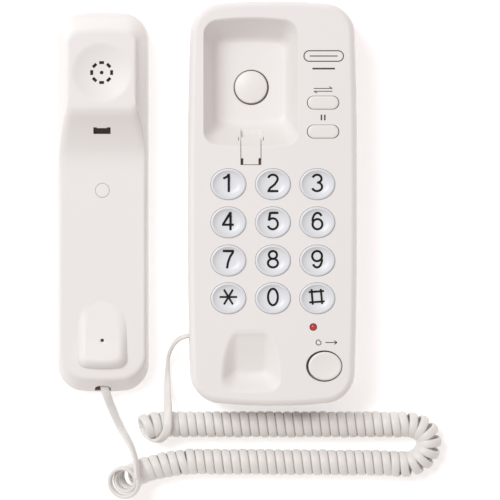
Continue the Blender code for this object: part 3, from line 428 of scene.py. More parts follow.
def smooth(obj, angle=32):
    obj.data.shade_smooth()
    obj.data.set_sharp_from_angle(angle=math.radians(angle))
    normals = obj.modifiers.new("flat_faces_stay_flat", "WEIGHTED_NORMAL")
    normals.keep_sharp = True
    return obj


def finish(obj, body, *replaced):
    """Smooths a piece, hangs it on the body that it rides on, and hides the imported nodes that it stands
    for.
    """
    smooth(obj)
    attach(obj, body)
    if replaced:
        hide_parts(*replaced)
    return obj


# ---------------------------------------------------------------- curly cord

CORD_WIDTH, CORD_THICKNESS = 0.0047, 0.0023
COIL_RADIUS, PITCH = 0.00585, 0.00476  # to the middle of the cord's thickness
COIL_Z = 0.0073
HANDSET_TAIL = (
    (-0.0559, -0.0943, 0.0115),
    (-0.0550, -0.0983, 0.0114),
    (-0.0540, -0.1026, 0.0106),
    (-0.0511, -0.1106, 0.0066),
    (-0.0468, -0.1203, 0.0045),
    (-0.0431, -0.1267, 0.0075),
    (-0.0401, -0.1325, 0.0128),
    (-0.0381, -0.1385, 0.0188),
)
COIL_AXIS = (
    (-0.0446, -0.1489, 0.0190),
    (-0.0431, -0.1479, 0.0146),
    (-0.0409, -0.1466, 0.0108),
    (-0.0373, -0.1448, 0.0084),
    (-0.0322, -0.1428, 0.0076),
    (-0.0228, -0.1404, COIL_Z),
    (-0.0144, -0.1393, COIL_Z),
    (-0.0037, -0.1387, COIL_Z),
    (0.0500, -0.1390, COIL_Z),
    (0.0953, -0.1394, COIL_Z),
    (0.1033, -0.1399, COIL_Z),
    (0.1098, -0.1397, COIL_Z),
    (0.1154, -0.1366, COIL_Z),
    (0.1188, -0.1313, COIL_Z),
    (0.1186, -0.1252, COIL_Z),
    (0.1145, -0.1206, COIL_Z),
    (0.1075, -0.1186, COIL_Z),
    (0.0985, -0.1187, COIL_Z),
    (0.0500, -0.1187, COIL_Z),
    (-0.0100, -0.1186, 0.0076),
    (-0.0220, -0.1185, 0.0085),
    (-0.0298, -0.1190, 0.0093),
    (-0.0342, -0.1202, 0.0097),
)
SPLIT_X = 0.0950  # where the cord's two lengths meet, on the lower run
OPENED = 0.0025  # how much wider the coil's first and last turns are
TAIL_SPACING = 0.0012
UPWARDS = np.array((0.0, 0.0, 1.0))
AT_THE_SOCKET = np.array((-0.9, 0.45, 0.05))  # the direction of the cord's thickness at the base's socket
BASE_TAIL = (
    (-0.0210, -0.1090, 0.0155),
    (-0.0213, -0.1030, 0.0088),
    (-0.0215, -0.0970, 0.0040),
    (-0.0214, -0.0900, 0.0027),
    (-0.0208, -0.0822, 0.0062),
    (-0.0183, -0.0762, 0.0118),
    (-0.0148, -0.0725, 0.0166),
    (-0.0108, -0.0711, 0.0178),
    (-0.0070, -0.0708, 0.0180),
)


def smooth_curve(points, spacing):
    """Points of a Catmull-Rom curve through the given ones, about spacing apart."""
    route = [np.array(point) for point in points]
    ends = [2 * route[0] - route[1], *route, 2 * route[-1] - route[-2]]
    made = [route[0]]
    for a, b, c, d in zip(ends, ends[1:], ends[2:], ends[3:], strict=False):
        steps = max(1, round(float(np.linalg.norm(c - b)) / spacing))
        for t in (np.arange(steps) + 1) / steps:
            bend = (2 * a - 5 * b + 4 * c - d) * t**2 + (3 * b - a - 3 * c + d) * t**3
            made.append(0.5 * (2 * b + (c - a) * t + bend))
    return np.array(made)


def unit(vectors):
    return vectors / np.linalg.norm(vectors, axis=-1, keepdims=True)


def lengths_along(points):
    return np.concatenate([[0], np.cumsum(np.linalg.norm(np.diff(points, axis=0), axis=1))])


def cord_route():
    """The cord's centreline, and at each point the direction of its thickness."""
    axis = smooth_curve(COIL_AXIS, 0.0004)
    along = lengths_along(axis)
    per_turn, start, settled = 30, math.pi * 0.55, 1.5
    turns = along[-1] / PITCH + settled / 2
    turn = np.arange(int(turns * per_turn)) / per_turn
    angle = start + 2 * math.pi * turn
    spot = PITCH * np.where(turn < settled, turn**2 / (2 * settled), turn - settled / 2)
    centre = np.stack([np.interp(spot, along, axis[:, k]) for k in range(3)], axis=1)
    tangent = unit(np.gradient(centre, axis=0))
    across = unit(np.cross(UPWARDS, tangent))
    rise = np.cross(tangent, across)
    radial = np.cos(angle)[:, None] * across + np.sin(angle)[:, None] * rise
    wobble = 0.00010 * np.sin(turn * 2.1) + 0.00008 * np.sin(turn * 5.3 + 1.0)
    closing = np.clip((turn - 0.35) / 0.9, 0, 1)
    opened = OPENED * (1 - closing**2 * (3 - 2 * closing))
    coil = centre + radial * (COIL_RADIUS + wobble + opened)[:, None]
    return coil, radial


def last_turn(coil):
    """The turn that goes on round the outside of the coil and back over it to the base's tail."""
    centre = np.array(COIL_AXIS[-1])
    start_angle = math.atan2(coil[-1][2] - centre[2], -(coil[-1][1] - centre[1])) % (2 * math.pi)
    end_angle, steps = math.pi * 2.5, 44
    points, ups = [], []
    for step in range(1, steps + 1):
        share = step / steps
        angle = start_angle + (end_angle - start_angle) * share
        ease = share * share * (3 - 2 * share)
        radius = COIL_RADIUS + OPENED * min(1.0, 1.6 * ease)
        y, z = between(centre[1], -0.1185, ease), between(centre[2], 0.0099, ease)
        out = np.array((0.0, -math.cos(angle), math.sin(angle)))
        points.append(np.array((centre[0] + 0.0132 * ease, y, z)) + radius * out)
        ups.append(out)
    return points, ups


def add_cords():
    coil, radial = cord_route()
    # The handset's tail runs over the coil and lies round its first turn before it joins it.
    tail = smooth_curve([*HANDSET_TAIL, tuple(coil[0]), tuple(coil[3])], TAIL_SPACING)[:-3]
    share = np.linspace(0, 1, len(tail))[:, None]
    tail_up = unit((1 - share) * UPWARDS + share * radial[0])
    wrap, wrap_up = last_turn(coil)
    base_tail = smooth_curve([tuple(wrap[-3]), tuple(wrap[-1]), *BASE_TAIL], TAIL_SPACING)
    start = next(i for i, p in enumerate(base_tail) if np.linalg.norm(p - wrap[-1]) < 1e-6)
    base_tail = base_tail[start + 1 :]
    share = np.linspace(0, 1, len(base_tail))[:, None]
    turned = 1 - (1 - share) ** 2.2
    base_tail_up = unit((1 - turned) * UPWARDS + turned * AT_THE_SOCKET)
    points = np.concatenate([tail, coil, wrap, base_tail])
    ups = np.concatenate([tail_up, radial, wrap_up, base_tail_up])
    on_lower_run = (points[:, 1] < -0.128) & (points[:, 0] > SPLIT_X)
    split = int(np.argmax(on_lower_run))
    lower = ribbon("handset_cord", points[: split + 1], ups[: split + 1])
    upper = ribbon("base_cord", points[split:], ups[split:])
    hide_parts("cord_handset_tail", "cord_coil_lower")
    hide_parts("cord_base_tail", "cord_coil_upper")
    for piece in (lower, upper):
        smooth(piece, 60)
    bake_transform(lower)
    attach(upper, "base")


def ribbon(name, points, ups):
    """A flat cord of four cores side by side, along points, with its thickness along ups."""
    tangent = unit(np.gradient(points, axis=0))
    side = unit(np.cross(tangent, ups))
    up = np.cross(side, tangent)
    half_width, half_thick = CORD_WIDTH / 2, CORD_THICKNESS / 2
    section = []
    for face in (1, -1):
        for x in np.linspace(-1, 1, 13)[1:-1] * face:
            groove = 0.06 * math.cos(math.pi * 4 * (x + 1) / 2) ** 8
            section.append((x, -face * (math.sqrt(1 - abs(x) ** 2.8) - groove)))
        section.append((face, 0.0))
    sections = []
    for point, aside, above in zip(points, side * half_width, up * half_thick, strict=True):
        sections.append([point + aside * x + above * z for x, z in section])
    return Shape().loft(sections).object(name, JACKET)


# ---------------------------------------------------------------- base covers


def well_outline(share, grow=0.0, arc_steps=12):
    """The ear well at a share of the way from its floor (0) to its mouth (1)."""
    corner = max(0.0012, between(0.0040, 0.0070, share) + grow)
    return outline(
        (between(0.00375, -0.0016, share) - grow, between(0.0421, 0.0487, share) + grow),
        (between(0.0421, 0.0298, share) - grow, between(0.0879, 0.0986, share) + grow),
        (corner, corner),
        (between(0.0010, 0.0018, share), between(0.0012, 0.0022, share)),
        arc_steps,
    )


def recess_outline(share, grow=0.0, arc_steps=12):
    """The mouthpiece recess, which flares towards its low end, at a share of the way up from its floor."""
    y_low, y_high = between(-0.0915, -0.0998, share) - grow, between(-0.0705, -0.0674, share) + grow
    wide, narrow = between(0.0083, 0.0151, share) + grow, between(0.0078, 0.0088, share) + grow
    corners = [max(0.0010, between(0.0022, size, share) + grow) for size in (0.0060, 0.0036)]
    points = outline((-wide, wide), (y_low, y_high), corners, (0.0013, 0.0), arc_steps, side_steps=20)
    made = []
    for x, y in points:
        rise = np.clip((y - y_low) / (y_high - y_low), 0, 1)
        made.append((CRADLE_X + x * between(narrow, wide, 1 - rise**3.2) / wide, y))
    return made


def recess_slope(points):
    """Lifts a hollow's points towards its high end, where the recess's floor runs out into the face."""
    foot, length, most = -0.0918, 0.0242, 0.93
    made = []
    for x, y, z in points:
        share = min(max((y - foot) / length, 0.0), most)
        made.append((x, y, z + max(0.0, TOP - z) * share))
    return made


def hollow(section, floor, foot, lip, steps=26, shift=list):
    """A cutter for a hollow whose walls round off into its floor and into the face above."""
    sections = []
    for step in range(steps + 1):
        share = between(-foot, 1 + lip, step / steps)
        rise = float(soft_min(soft_max(share, 0.0, foot), 1.0, lip))
        sections.append(shift(at(section(share), floor + (TOP + 0.00002 - floor) * rise)))
    sections.append(at(section(1 + lip), OPEN_TOP))
    return Shape().loft(sections).object("hollow")


def lining(section, floor, grow):
    """What stands inside the cover around a hollow."""
    below = section(0.0, grow, 4)
    above = section(1.0, grow, 4)
    return Shape().loft([at(below, floor - grow), at(above, TOP), at(above, OPEN_TOP)]).object("lining")


def tab_channel(grow=0.0):
    """The channel that the wall tab lies in, open at the top and towards the well."""
    start, floor, half = 0.0202 - grow, 0.0349 - grow, TAB_HALF_WIDTH + 0.0003 + grow
    profile = (
        (start, OPEN_TOP),
        (start, floor),
        (0.0281 - grow / 2, floor),
        (0.0374 - grow / 2, 0.0234 - grow),
        (0.0450, 0.0234 - grow),
        (0.0450, OPEN_TOP),
    )
    sides = [[(x, y, z) for y, z in profile] for x in (CRADLE_X - half, CRADLE_X + half)]
    return Shape().loft(sides).object("tab_channel")


def tab_ticks():
    """The two narrow slits in the well's low wall, one at each side of the tab."""
    shape = Shape()
    for side in (-1, 1):
        x = CRADLE_X + side * 0.0066
        shape.block((x - 0.00025, 0.0334, 0.0296), (x + 0.00025, 0.0354, TOP))
    return shape.object("tab_ticks")


def rimmed_hole(shape, section, bevel=0.0003):
    """A hole down through the top face, with a small bevel at its edge. section takes how far to grow."""
    wide = bevel * 1.05
    levels = ((0.0, TOP - 0.006), (0.0, TOP - bevel), (wide, TOP + bevel * 0.05), (wide, TOP + 0.003))
    shape.loft([at(section(grow), z) for grow, z in levels])


def top_face_holes():
    shape = Shape()
    for name in KEY_NAMES:
        centre, (rx, ry) = middle(f"key_{name}"), cap_size(f"key_{name}")
        rx, ry = rx + CAP_CLEARANCE, ry + CAP_CLEARANCE
        rimmed_hole(shape, lambda grow, c=centre, a=rx, b=ry: ellipse(c, a + grow, b + grow), CAP_CLEARANCE)
    for name in PILL_BUTTONS:
        centre = middle(name)
        rimmed_hole(shape, lambda grow, c=centre: pill(c, 0.0086 + grow, 0.00365 + grow), CAP_CLEARANCE)
    centre = middle("redial_button")
    centre = (centre.x - 0.0004, centre.y)
    rimmed_hole(shape, lambda grow: ellipse(centre, 0.0096 + grow, 0.0083 + grow, 72))
    lamp = middle("lamp_lens")
    rimmed_hole(shape, lambda grow: ellipse(lamp, 0.00195 + grow, 0.00195 + grow, 40), 0.0002)
    for side in (-1, 1):
        x = CRADLE_X + side * (TAB_HALF_WIDTH + 0.0013)
        shape.block((x - 0.0004, 0.0333, TOP - 0.0016), (x + 0.0004, 0.0349, TOP + PAST))
    return shape.object("top_face_holes")


def hook_hole_place():
    hook = middle("hook_button")
    return hook.x + 0.0002, hook.y - 0.0002


def hook_hole():
    rim, throat, floor, high, low = 0.0097, 0.0094, WELL_FLOOR, 0.024, 0.016
    profile = ((0, high), (rim, high), (rim, floor), (throat, floor - 0.0003), (throat, low), (0, low))
    return Shape().turn(hook_hole_place(), profile, 72).object("hook_hole")


def wall_holes():
    shape = Shape()
    for y, length in SWITCHES.values():
        low, high = SWITCH_Z - SWITCH_HALF_HEIGHT, SWITCH_Z + SWITCH_HALF_HEIGHT
        shape.block((BASE_HIGH.x - 0.006, y - length / 2, low), (BASE_HIGH.x + 0.004, y + length / 2, high))
    left, half_length, half_height = BASE_LOW.x, 0.0043, 0.0046
    low = (left - 0.004, CORD_JACK_Y - half_length, JACK_Z - half_height)
    shape.block(low, (left + 0.006, CORD_JACK_Y + half_length, JACK_Z + half_height))
    end, half_width, half_height = -BASE_HALF_LENGTH, 0.0066, 0.0050
    low = (LINE_JACK_X - half_width, end - 0.004, JACK_Z - half_height)
    shape.block(low, (LINE_JACK_X + half_width, end + 0.006, JACK_Z + half_height))
    return shape.object("wall_holes")


def bosses(places, radius, low, high, name):
    shape = Shape()
    for place in places:
        shape.drum(place, radius, low, high, 24)
    return shape.object(name)


def base_top():
    edge_height, edge_inset, draft, lining_wall = 0.0050, 0.0033, 0.0007, 0.0022
    sections = [at(base_outline(SEAM), SPLIT), at(base_outline(), SPLIT + SEAM * 1.4)]
    for angle in quarter_turn(14):
        inset = draft + edge_inset * (1 - math.cos(angle))
        sections.append(at(base_outline(inset), TOP - edge_height * (1 - math.sin(angle))))
    cover = Shape().loft(sections).object("base_top_shell", SHELL)
    inside = [
        at(base_outline(WALL, 5), SPLIT - PAST),
        at(base_outline(WALL + draft, 5), 0.0320),
        at(base_outline(WALL + 0.0035, 5), TOP - WALL),
    ]
    cavity = Shape().loft(inside).object("cavity")
    left_standing = (
        lining(well_outline, WELL_FLOOR, lining_wall),
        lining(recess_outline, RECESS_FLOOR, lining_wall),
        tab_channel(0.0020),
        bosses(SCREWS, 0.0033, SPLIT - PAST, TOP, "bosses"),
    )
    shape_with(cavity, cut=left_standing)
    cutters = (
        cavity,
        hollow(well_outline, WELL_FLOOR, foot=0.20, lip=0.07),
        hollow(recess_outline, RECESS_FLOOR, foot=0.30, lip=0.22, shift=recess_slope),
        tab_channel(),
        tab_ticks(),
        top_face_holes(),
        hook_hole(),
        wall_holes(),
        bosses(SCREWS, 0.0015, SPLIT - 0.003, 0.0225, "bores"),
    )
    shape_with(cover, cut=cutters)
    finish(cover, "base", "base_top_cover")


def keyhole_outline(centre, head=0.0045, slot=0.0023, reach=0.0095, steps=36):
    """A round hole for a screw head with a narrower slot above it."""
    start = math.asin(slot / head)
    points = []
    for step in range(steps + 1):
        angle = math.pi / 2 + start + (2 * math.pi - 2 * start) * step / steps
        points.append((centre[0] + head * math.cos(angle), centre[1] + head * math.sin(angle)))
    for step in range(13):
        angle = math.pi * step / 12
        x, y = slot * math.cos(angle), slot * math.sin(angle)
        points.append((centre[0] + x, centre[1] + reach + y))
    return points


def base_bottom():
    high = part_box("base_bottom_cover")[1].z
    depth, hook = 0.0036, middle("hook_button")
    sections = []
    for angle in quarter_turn(10):
        inset, rise = depth * (1 - math.sin(angle)), depth * (1 - math.cos(angle))
        sections.append(at(base_outline(inset), UNDERSIDE + rise))
    sections += [at(base_outline(), high - SEAM * 1.4), at(base_outline(SEAM), high)]
    cover = Shape().loft(sections).object("base_bottom_shell", SHELL)
    tray = [
        at(base_outline(WALL + 0.0014, 5), UNDERSIDE + WALL),
        at(base_outline(WALL, 5), 0.0070),
        at(base_outline(WALL, 5), high + 0.001),
    ]
    tray = Shape().loft(tray).object("tray")
    posts = Shape().drum(hook, 0.0045, 0.003, 0.0115, 24)
    for place in SCREWS:
        posts.drum(place, 0.0050, 0.003, high + PAST, 24)
    shape_with(tray, cut=[posts.object("posts")])
    holes = Shape()
    for place in SCREWS:
        holes.drum(place, 0.0036, UNDERSIDE - PAST, SCREW_SEAT, 40)
    for place in FEET:
        holes.drum(place, 0.0053, UNDERSIDE - PAST, 0.0033, 48)
    for place in KEYHOLES:
        holes.prism(keyhole_outline(place), UNDERSIDE - PAST, 0.0060)
    for step in range(6):
        angle = math.pi * step / 3
        place = (SOUNDER[0] + 0.005 * math.cos(angle), SOUNDER[1] + 0.005 * math.sin(angle))
        holes.drum(place, 0.0011, UNDERSIDE - PAST, 0.0060, 20)
    bores = Shape().drum(hook, 0.0029, 0.0052, 0.0150, 24)
    for place in SCREWS:
        bores.drum(place, 0.0016, SCREW_SEAT - 0.001, high + PAST, 20)
    plate = outline((0.0180, 0.0520), (-0.0180, 0.0180), (0.0015, 0.0015))
    plate = Shape().prism(plate, UNDERSIDE - 0.001, UNDERSIDE + 0.0003)
    cutters = (tray, holes.object("holes"), bores.object("bores"), plate.object("label_recess"))
    shape_with(cover, cut=cutters)
    finish(cover, "base", "base_bottom_cover")


# ---------------------------------------------------------------- keys and buttons

KEY_EDGE, KEY_DISH = 0.0010, 0.0020  # width of a key's rounded edge, and the depth of its dish
KEY_SINK = 0.0005  # how far the rounded rim stays below the top of the key's box


def key_height(top, rx, ry, x, y):
    """The height of a key's dished top at a place measured from its middle."""
    reach = min(1.0, math.hypot(x / (rx - KEY_EDGE), y / (ry - KEY_EDGE)))
    return top - KEY_DISH * (1 - reach**4.4)


def cap_profile(top, low, edge, edge_height):
    """The (grow, height) pairs of a cap up to its crest: skirt, side and rounded edge."""
    skirt = 0.0012
    made = [(FLANGE, low), (FLANGE, low + skirt), (0.0, low + skirt)]
    for angle in quarter_turn(8):
        made.append((-edge * (1 - math.cos(angle)), top - edge_height * (1 - math.sin(angle))))
    return made


def key_caps():
    for name in KEY_NAMES:
        part = f"key_{name}"
        low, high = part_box(part)
        centre, (rx, ry) = middle(part), cap_size(part)
        top = high.z - KEY_SINK
        profile = cap_profile(top, low.z, KEY_EDGE, 0.0009)
        sections = [at(ellipse(centre, rx + grow, ry + grow), z) for grow, z in profile]
        for step in range(1, 13):
            share = 1 - step / 13
            a, b = (rx - KEY_EDGE) * share, (ry - KEY_EDGE) * share
            sections.append(at(ellipse(centre, a, b), key_height(top, rx, ry, a, 0)))
        finish(Shape().loft(sections).object(f"{part}_cap", KEYCAP), part, part)
        digit(name, part, centre, lambda x, y, t=top, a=rx, b=ry: key_height(t, a, b, x, y))


def arc(cx, cy, rx, ry, start, end, steps=28):
    angles = [math.radians(between(start, end, step / steps)) for step in range(steps + 1)]
    return [(cx + rx * math.cos(angle), cy + ry * math.sin(angle)) for angle in angles]


def turned_round(strokes):
    return [[(-x, -y) for x, y in stroke] for stroke in strokes]


SIX = [arc(0.1, -1.65, 2.6, 2.7, 0, 360, 40), arc(0.15, 0.0, 2.65, 4.35, 182, 38)]
STROKES = {  # the middle lines of each figure, in millimetres from its middle
    "1": [[(0.2, -4.9), (0.2, 4.9)], [(0.2, 4.5), (-0.9, 3.2), (-2.75, 2.3)]],
    "2": [
        arc(0.0, 2.15, 2.5, 2.2, 168, -28) + [(0.9, -0.85), (-1.5, -2.7), (-2.35, -4.2)],
        [(-2.95, -4.35), (2.9, -4.35)],
    ],
    "3": [arc(-0.1, 2.25, 2.35, 2.1, 165, -90), arc(-0.1, -2.05, 2.65, 2.3, 90, -162)],
    "4": [[(1.1, -4.9), (1.1, 4.9)], [(1.1, 4.6), (-2.95, -1.95)], [(-3.4, -1.95), (2.9, -1.95)]],
    "5": [
        [(-1.5, 4.35), (2.9, 4.35)],
        [(-1.45, 4.6), (-2.2, 0.2)],
        arc(-0.1, -1.45, 2.7, 2.9, 142, -158),
    ],
    "6": SIX,
    "7": [[(-2.95, 4.35), (2.95, 4.35)], [(2.7, 4.2), (0.9, 1.3), (-0.2, -1.7), (-0.75, -4.9)]],
    "8": [arc(0.0, 2.3, 2.15, 2.05, 0, 360, 40), arc(0.0, -2.05, 2.65, 2.3, 0, 360, 40)],
    "9": turned_round(SIX),
    "0": [arc(0.0, 0.0, 2.6, 4.35, 0, 360, 48)],
    "star": [[(-4.7, 0.0), (4.7, 0.0)], [(-2.4, 4.0), (2.4, -4.0)], [(2.4, 4.0), (-2.4, -4.0)]],
    "hash": [
        [(-3.1, 4.2), (-2.4, -4.1)],
        [(1.8, 4.3), (2.6, -3.8)],
        [(-4.6, 2.6), (3.6, 3.2)],
        [(-4.3, -2.9), (3.9, -2.3)],
    ],
}
STROKE_WIDTH, THIN_STROKE = 1.20, 1.0  # millimetres
INK_HEIGHT, INK_SINK = 0.00004, 0.0002  # of the ink's top over the surface, and of its bottom below its top


def stroke_sections(points, width, height):
    """Sections of a thin flat stroke along points, whose top is at the height given for each place."""
    line = np.array(points, float)
    steps = unit(np.diff(line, axis=0))
    normals = np.stack([-steps[:, 1], steps[:, 0]], axis=1)
    before, after = np.vstack([normals[:1], normals]), np.vstack([normals, normals[-1:]])
    if np.linalg.norm(line[0] - line[-1]) < 1e-9:
        before[0] = normals[-1]
        after[-1] = normals[0]
    mitre = before + after
    mitre *= (2 / np.maximum(0.8, (mitre**2).sum(axis=1)))[:, None]
    sections = []
    for place, aside in zip(line, mitre * width / 2, strict=True):
        section = []
        for side, sink in ((1, 0), (-1, 0), (-1, 1), (1, 1)):
            x, y = place + side * aside
            section.append((x, y, height(x, y) + INK_HEIGHT - sink * INK_SINK))
        sections.append(section)
    return sections


def inked(name, strokes, centre, width, height, body, material=INK):
    """Figures or marks printed on a surface: strokes in metres from their centre."""
    shape = Shape()
    for stroke in strokes:
        sections = stroke_sections(stroke, width, height)
        shape.loft([[(centre.x + x, centre.y + y, z) for x, y, z in section] for section in sections])
    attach(shape.object(name, material), body)


def digit(name, body, centre, height):
    lift = 0.0007  # of the figure's middle from the key's
    strokes = [[(x / 1000, y / 1000 + lift) for x, y in stroke] for stroke in STROKES[name]]
    width = (THIN_STROKE if name in ("star", "hash") else STROKE_WIDTH) / 1000
    inked(f"{body}_figure", strokes, centre, width, height, body)


def buttons():
    for name in PILL_BUTTONS:
        low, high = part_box(name)
        centre, (half, radius) = middle(name), cap_size(name)
        profile = cap_profile(high.z, low.z, 0.0010, 0.0008)
        sections = [at(pill(centre, half + grow, radius + grow), z) for grow, z in profile]
        sections.append(at(pill(centre, half - 0.0024, radius - 0.0024), high.z + 0.00005))
        finish(Shape().loft(sections).object(f"{name}_cap", BUTTON), name, name)
    low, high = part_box("redial_button")
    centre = middle("redial_button")
    rx, ry, edge = 0.0088, 0.0076, 0.0011
    sections = []
    for grow, z in cap_profile(high.z, low.z, edge, 0.0009):
        sections.append(at(ellipse(centre, rx + grow * (2 if grow > 0 else 1), ry + grow, 72), z))
    for step in range(1, 9):
        share = 1 - step / 9
        a, b = (rx - edge) * share, (ry - edge) * share
        sections.append(at(ellipse(centre, a, b, 72), high.z - 0.0004 * (1 - share**2)))
    finish(Shape().loft(sections).object("redial_button_cap", BUTTON), "redial_button", "redial_button")


def hook_button():
    low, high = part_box("hook_button")
    radius, crown_radius, crown_drop, edge_drop = 0.0087, 0.0077, 0.0009, 0.0012
    flange_top, flange, flange_height, stem = WELL_FLOOR - 0.0025, 0.0104, 0.0014, 0.0026
    profile = [(0.0, high.z)]
    for step in range(1, 9):
        share = step / 8
        profile.append((crown_radius * share, high.z - crown_drop * share**2))
    for angle in quarter_turn(6, first=1):
        drop = edge_drop * (1 - math.cos(angle))
        profile.append((crown_radius + (radius - crown_radius) * math.sin(angle), high.z - crown_drop - drop))
    profile += [(radius, flange_top), (flange, flange_top), (flange, flange_top - flange_height)]
    profile += [(stem, flange_top - flange_height), (stem, low.z + 0.0004), (0.0022, low.z), (0.0, low.z)]
    cap = Shape().turn(middle("hook_button"), profile, 72).object("hook_button_cap", BUTTON)
    finish(cap, "hook_button", "hook_button")


def hook_spring():
    centre = middle("hook_button")
    wire, turns, per_turn, coil = 0.00045, 5.5, 28, 0.0062
    low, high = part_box("hook_spring")
    bottom, top = low.z + wire, high.z - wire - 0.0004
    points = []
    for step in range(int(turns * per_turn) + 1):
        share = step / (turns * per_turn)
        angle = 2 * math.pi * turns * share
        height = between(bottom, top, share)
        points.append((centre.x + coil * math.cos(angle), centre.y + coil * math.sin(angle), height))
    spring = round_wire("hook_spring_wire", np.array(points), wire, STEEL)
    smooth(spring, 60)
    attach(spring, "base")
    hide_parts("hook_spring")
    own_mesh(spring)


def round_wire(name, points, radius, material, sides=10):
    tangent = unit(np.gradient(points, axis=0))
    side = unit(np.cross(tangent, UPWARDS))
    up = np.cross(side, tangent)
    angles = [2 * math.pi * step / sides for step in range(sides)]
    sections = []
    for point, aside, above in zip(points, side * radius, up * radius, strict=True):
        sections.append([point + math.cos(angle) * aside + math.sin(angle) * above for angle in angles])
    return Shape().loft(sections).object(name, material)


def wall_tab():
    """The tab in its channel, narrower at its foot, with a low step above the slope."""
    half, notch = TAB_HALF_WIDTH, 0.0012
    face, step_y = TOP - 0.0006, 0.0322
    top = ((0.0205, face), (0.0296, face), (step_y - 0.0004, 0.0345), (step_y, 0.0341), (0.0352, 0.0306))
    under = ((0.0336, 0.0288), (0.0284, 0.0352), (0.0205, 0.0352))
    sides = [[(CRADLE_X + x, y, z) for y, z in (*top, *under)] for x in (-half, half)]
    tab = Shape().loft(sides).object("wall_hook_tab_plate", BUTTON)
    cutter = Shape()
    for side in (-1, 1):
        x = sorted((CRADLE_X + side * (half - notch), CRADLE_X + side * (half + 0.002)))
        cutter.block((x[0], 0.0190, 0.0340), (x[1], 0.0238, TOP + PAST))
    shape_with(tab, cut=[cutter.object("notches")])
    bevel = tab.modifiers.new("soft_edges", "BEVEL")
    bevel.width, bevel.segments = 0.00025, 3
    finish(tab, "wall_hook_tab", "wall_hook_tab")
    # Painted shade: brown blocks under the notches at the tab's sides stand for the shadow there.
    shade_patch = Shape()
    for side in (-1, 1):
        x = sorted((CRADLE_X + side * (half - notch + 0.0001), CRADLE_X + side * (half + 0.0002)))
        shade_patch.block((x[0], 0.0204, 0.03492), (x[1], 0.0236, 0.0351))
    finish(shade_patch.object("tab_notch_painted_shade", SHADE_BROWN), "base")


def lamp():
    low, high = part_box("lamp_lens")
    centre, radius = middle("lamp_lens"), 0.00165
    profile = [(0.0, high.z)]
    for angle in quarter_turn(8, first=1):
        profile.append((radius * math.sin(angle), high.z - 0.0013 * (1 - math.cos(angle))))
    profile += [(radius, low.z), (0.0, low.z)]
    finish(Shape().turn(centre, profile, 40).object("lamp_lens_dome", LENS), "base", "lamp_lens")


def printed_marks():
    """Plain generic marks where a maker prints its own: a lozenge and a bar, and a sign for each button."""

    def mark(name, centre, strokes, width):
        made = [[(x / 1000, y / 1000) for x, y in stroke] for stroke in strokes]
        inked(name, made, Vector((*centre, 0)), width / 1000, lambda x, y: TOP, "base", PRINT)

    lozenge = [(x * 1000, y * 1000) for x, y in pill((0, 0), 0.0105, 0.0028)]
    mark("maker_mark", (0.0622, 0.0782), [[*lozenge, lozenge[0]], [(-7.4, 0), (7.4, 0)]], 0.55)
    mark("model_mark", (0.0622, 0.0715), [[(-6, 0), (6, 0)]], 0.9)
    arrow_there = [[(-5, 0.75), (4.6, 0.75)], [(3.2, 1.7), (4.9, 0.75)]]
    arrow_back = [[(-4.6, -0.75), (5, -0.75)], [(-3.2, -1.7), (-4.9, -0.75)]]
    mark("flash_mark", (0.0619, 0.0602), arrow_there + arrow_back, 0.42)
    mark("hold_mark", (0.0619, 0.0455), [[(-0.9, -1.5), (-0.9, 1.5)], [(0.9, -1.5), (0.9, 1.5)]], 0.8)
    loop = [arc(-3.4, 0, 1.35, 1.35, 60, 360), [(-2.05, 0.1), (-2.9, 0.9)]]
    arrow = [[(0.2, 0), (6.2, 0)], [(4.9, 1.0), (6.4, 0)], [(4.9, -1.0), (6.4, 0)]]
    mark("redial_mark", (0.0629, -0.0742), loop + arrow, 0.45)


# ---------------------------------------------------------------- handset


def ear_box(share):
    """Middle, half sizes and corner radii of the ear boss's outline, from its foot (0) to its top (1)."""
    low_share = np.where(share > 0, np.maximum(share, 0) ** 0.42, 2 * share)
    y_low, y_high = between(0.0050, 0.0488, low_share), between(0.1012, 0.0927, share)
    half_x = between(0.0237, 0.0190, share)
    return (y_low + y_high) / 2, half_x, (y_high - y_low) / 2, 0.0040, between(0.0105, 0.0060, share)


def ear_depth(x, y, share):
    """How far a place is inside the ear boss's outline at that share of its height."""
    middle_y, half_x, half_y, low_corner, high_corner = ear_box(share)
    across = (x - HANDSET_X) / half_x
    y = y + np.where(y > middle_y, between(0.0022, 0.0018, share) * across**2, 0)
    radius = np.where(y > middle_y, high_corner, low_corner)
    out_x = np.abs(x - HANDSET_X) - half_x + radius
    out_y = np.abs(y - middle_y) - half_y + radius
    inside = np.minimum(np.maximum(out_x, out_y), 0)
    return radius - np.hypot(np.maximum(out_x, 0), np.maximum(out_y, 0)) - inside


def ear_height(x, y):
    """The height of the ear boss over each place, with a rounded top edge."""
    low, high = np.full_like(x, -1.0), np.full_like(x, 2.2)
    for _ in range(30):
        share = (low + high) / 2
        inside = ear_depth(x, y, share) > 0
        low, high = np.where(inside, share, low), np.where(inside, high, share)
    step = 0.02
    gap = (ear_depth(x, y, share - step) - ear_depth(x, y, share + step)) / (2 * step)
    edge = between(0.0032, 0.0018, np.clip((y - 0.0485) / 0.008, 0, 1)) / np.maximum(gap, 0.0005)
    foot = HANDSET_FACE - 0.002
    return foot + (EAR_TOP - foot) * soft_min(share, 1.0, edge)


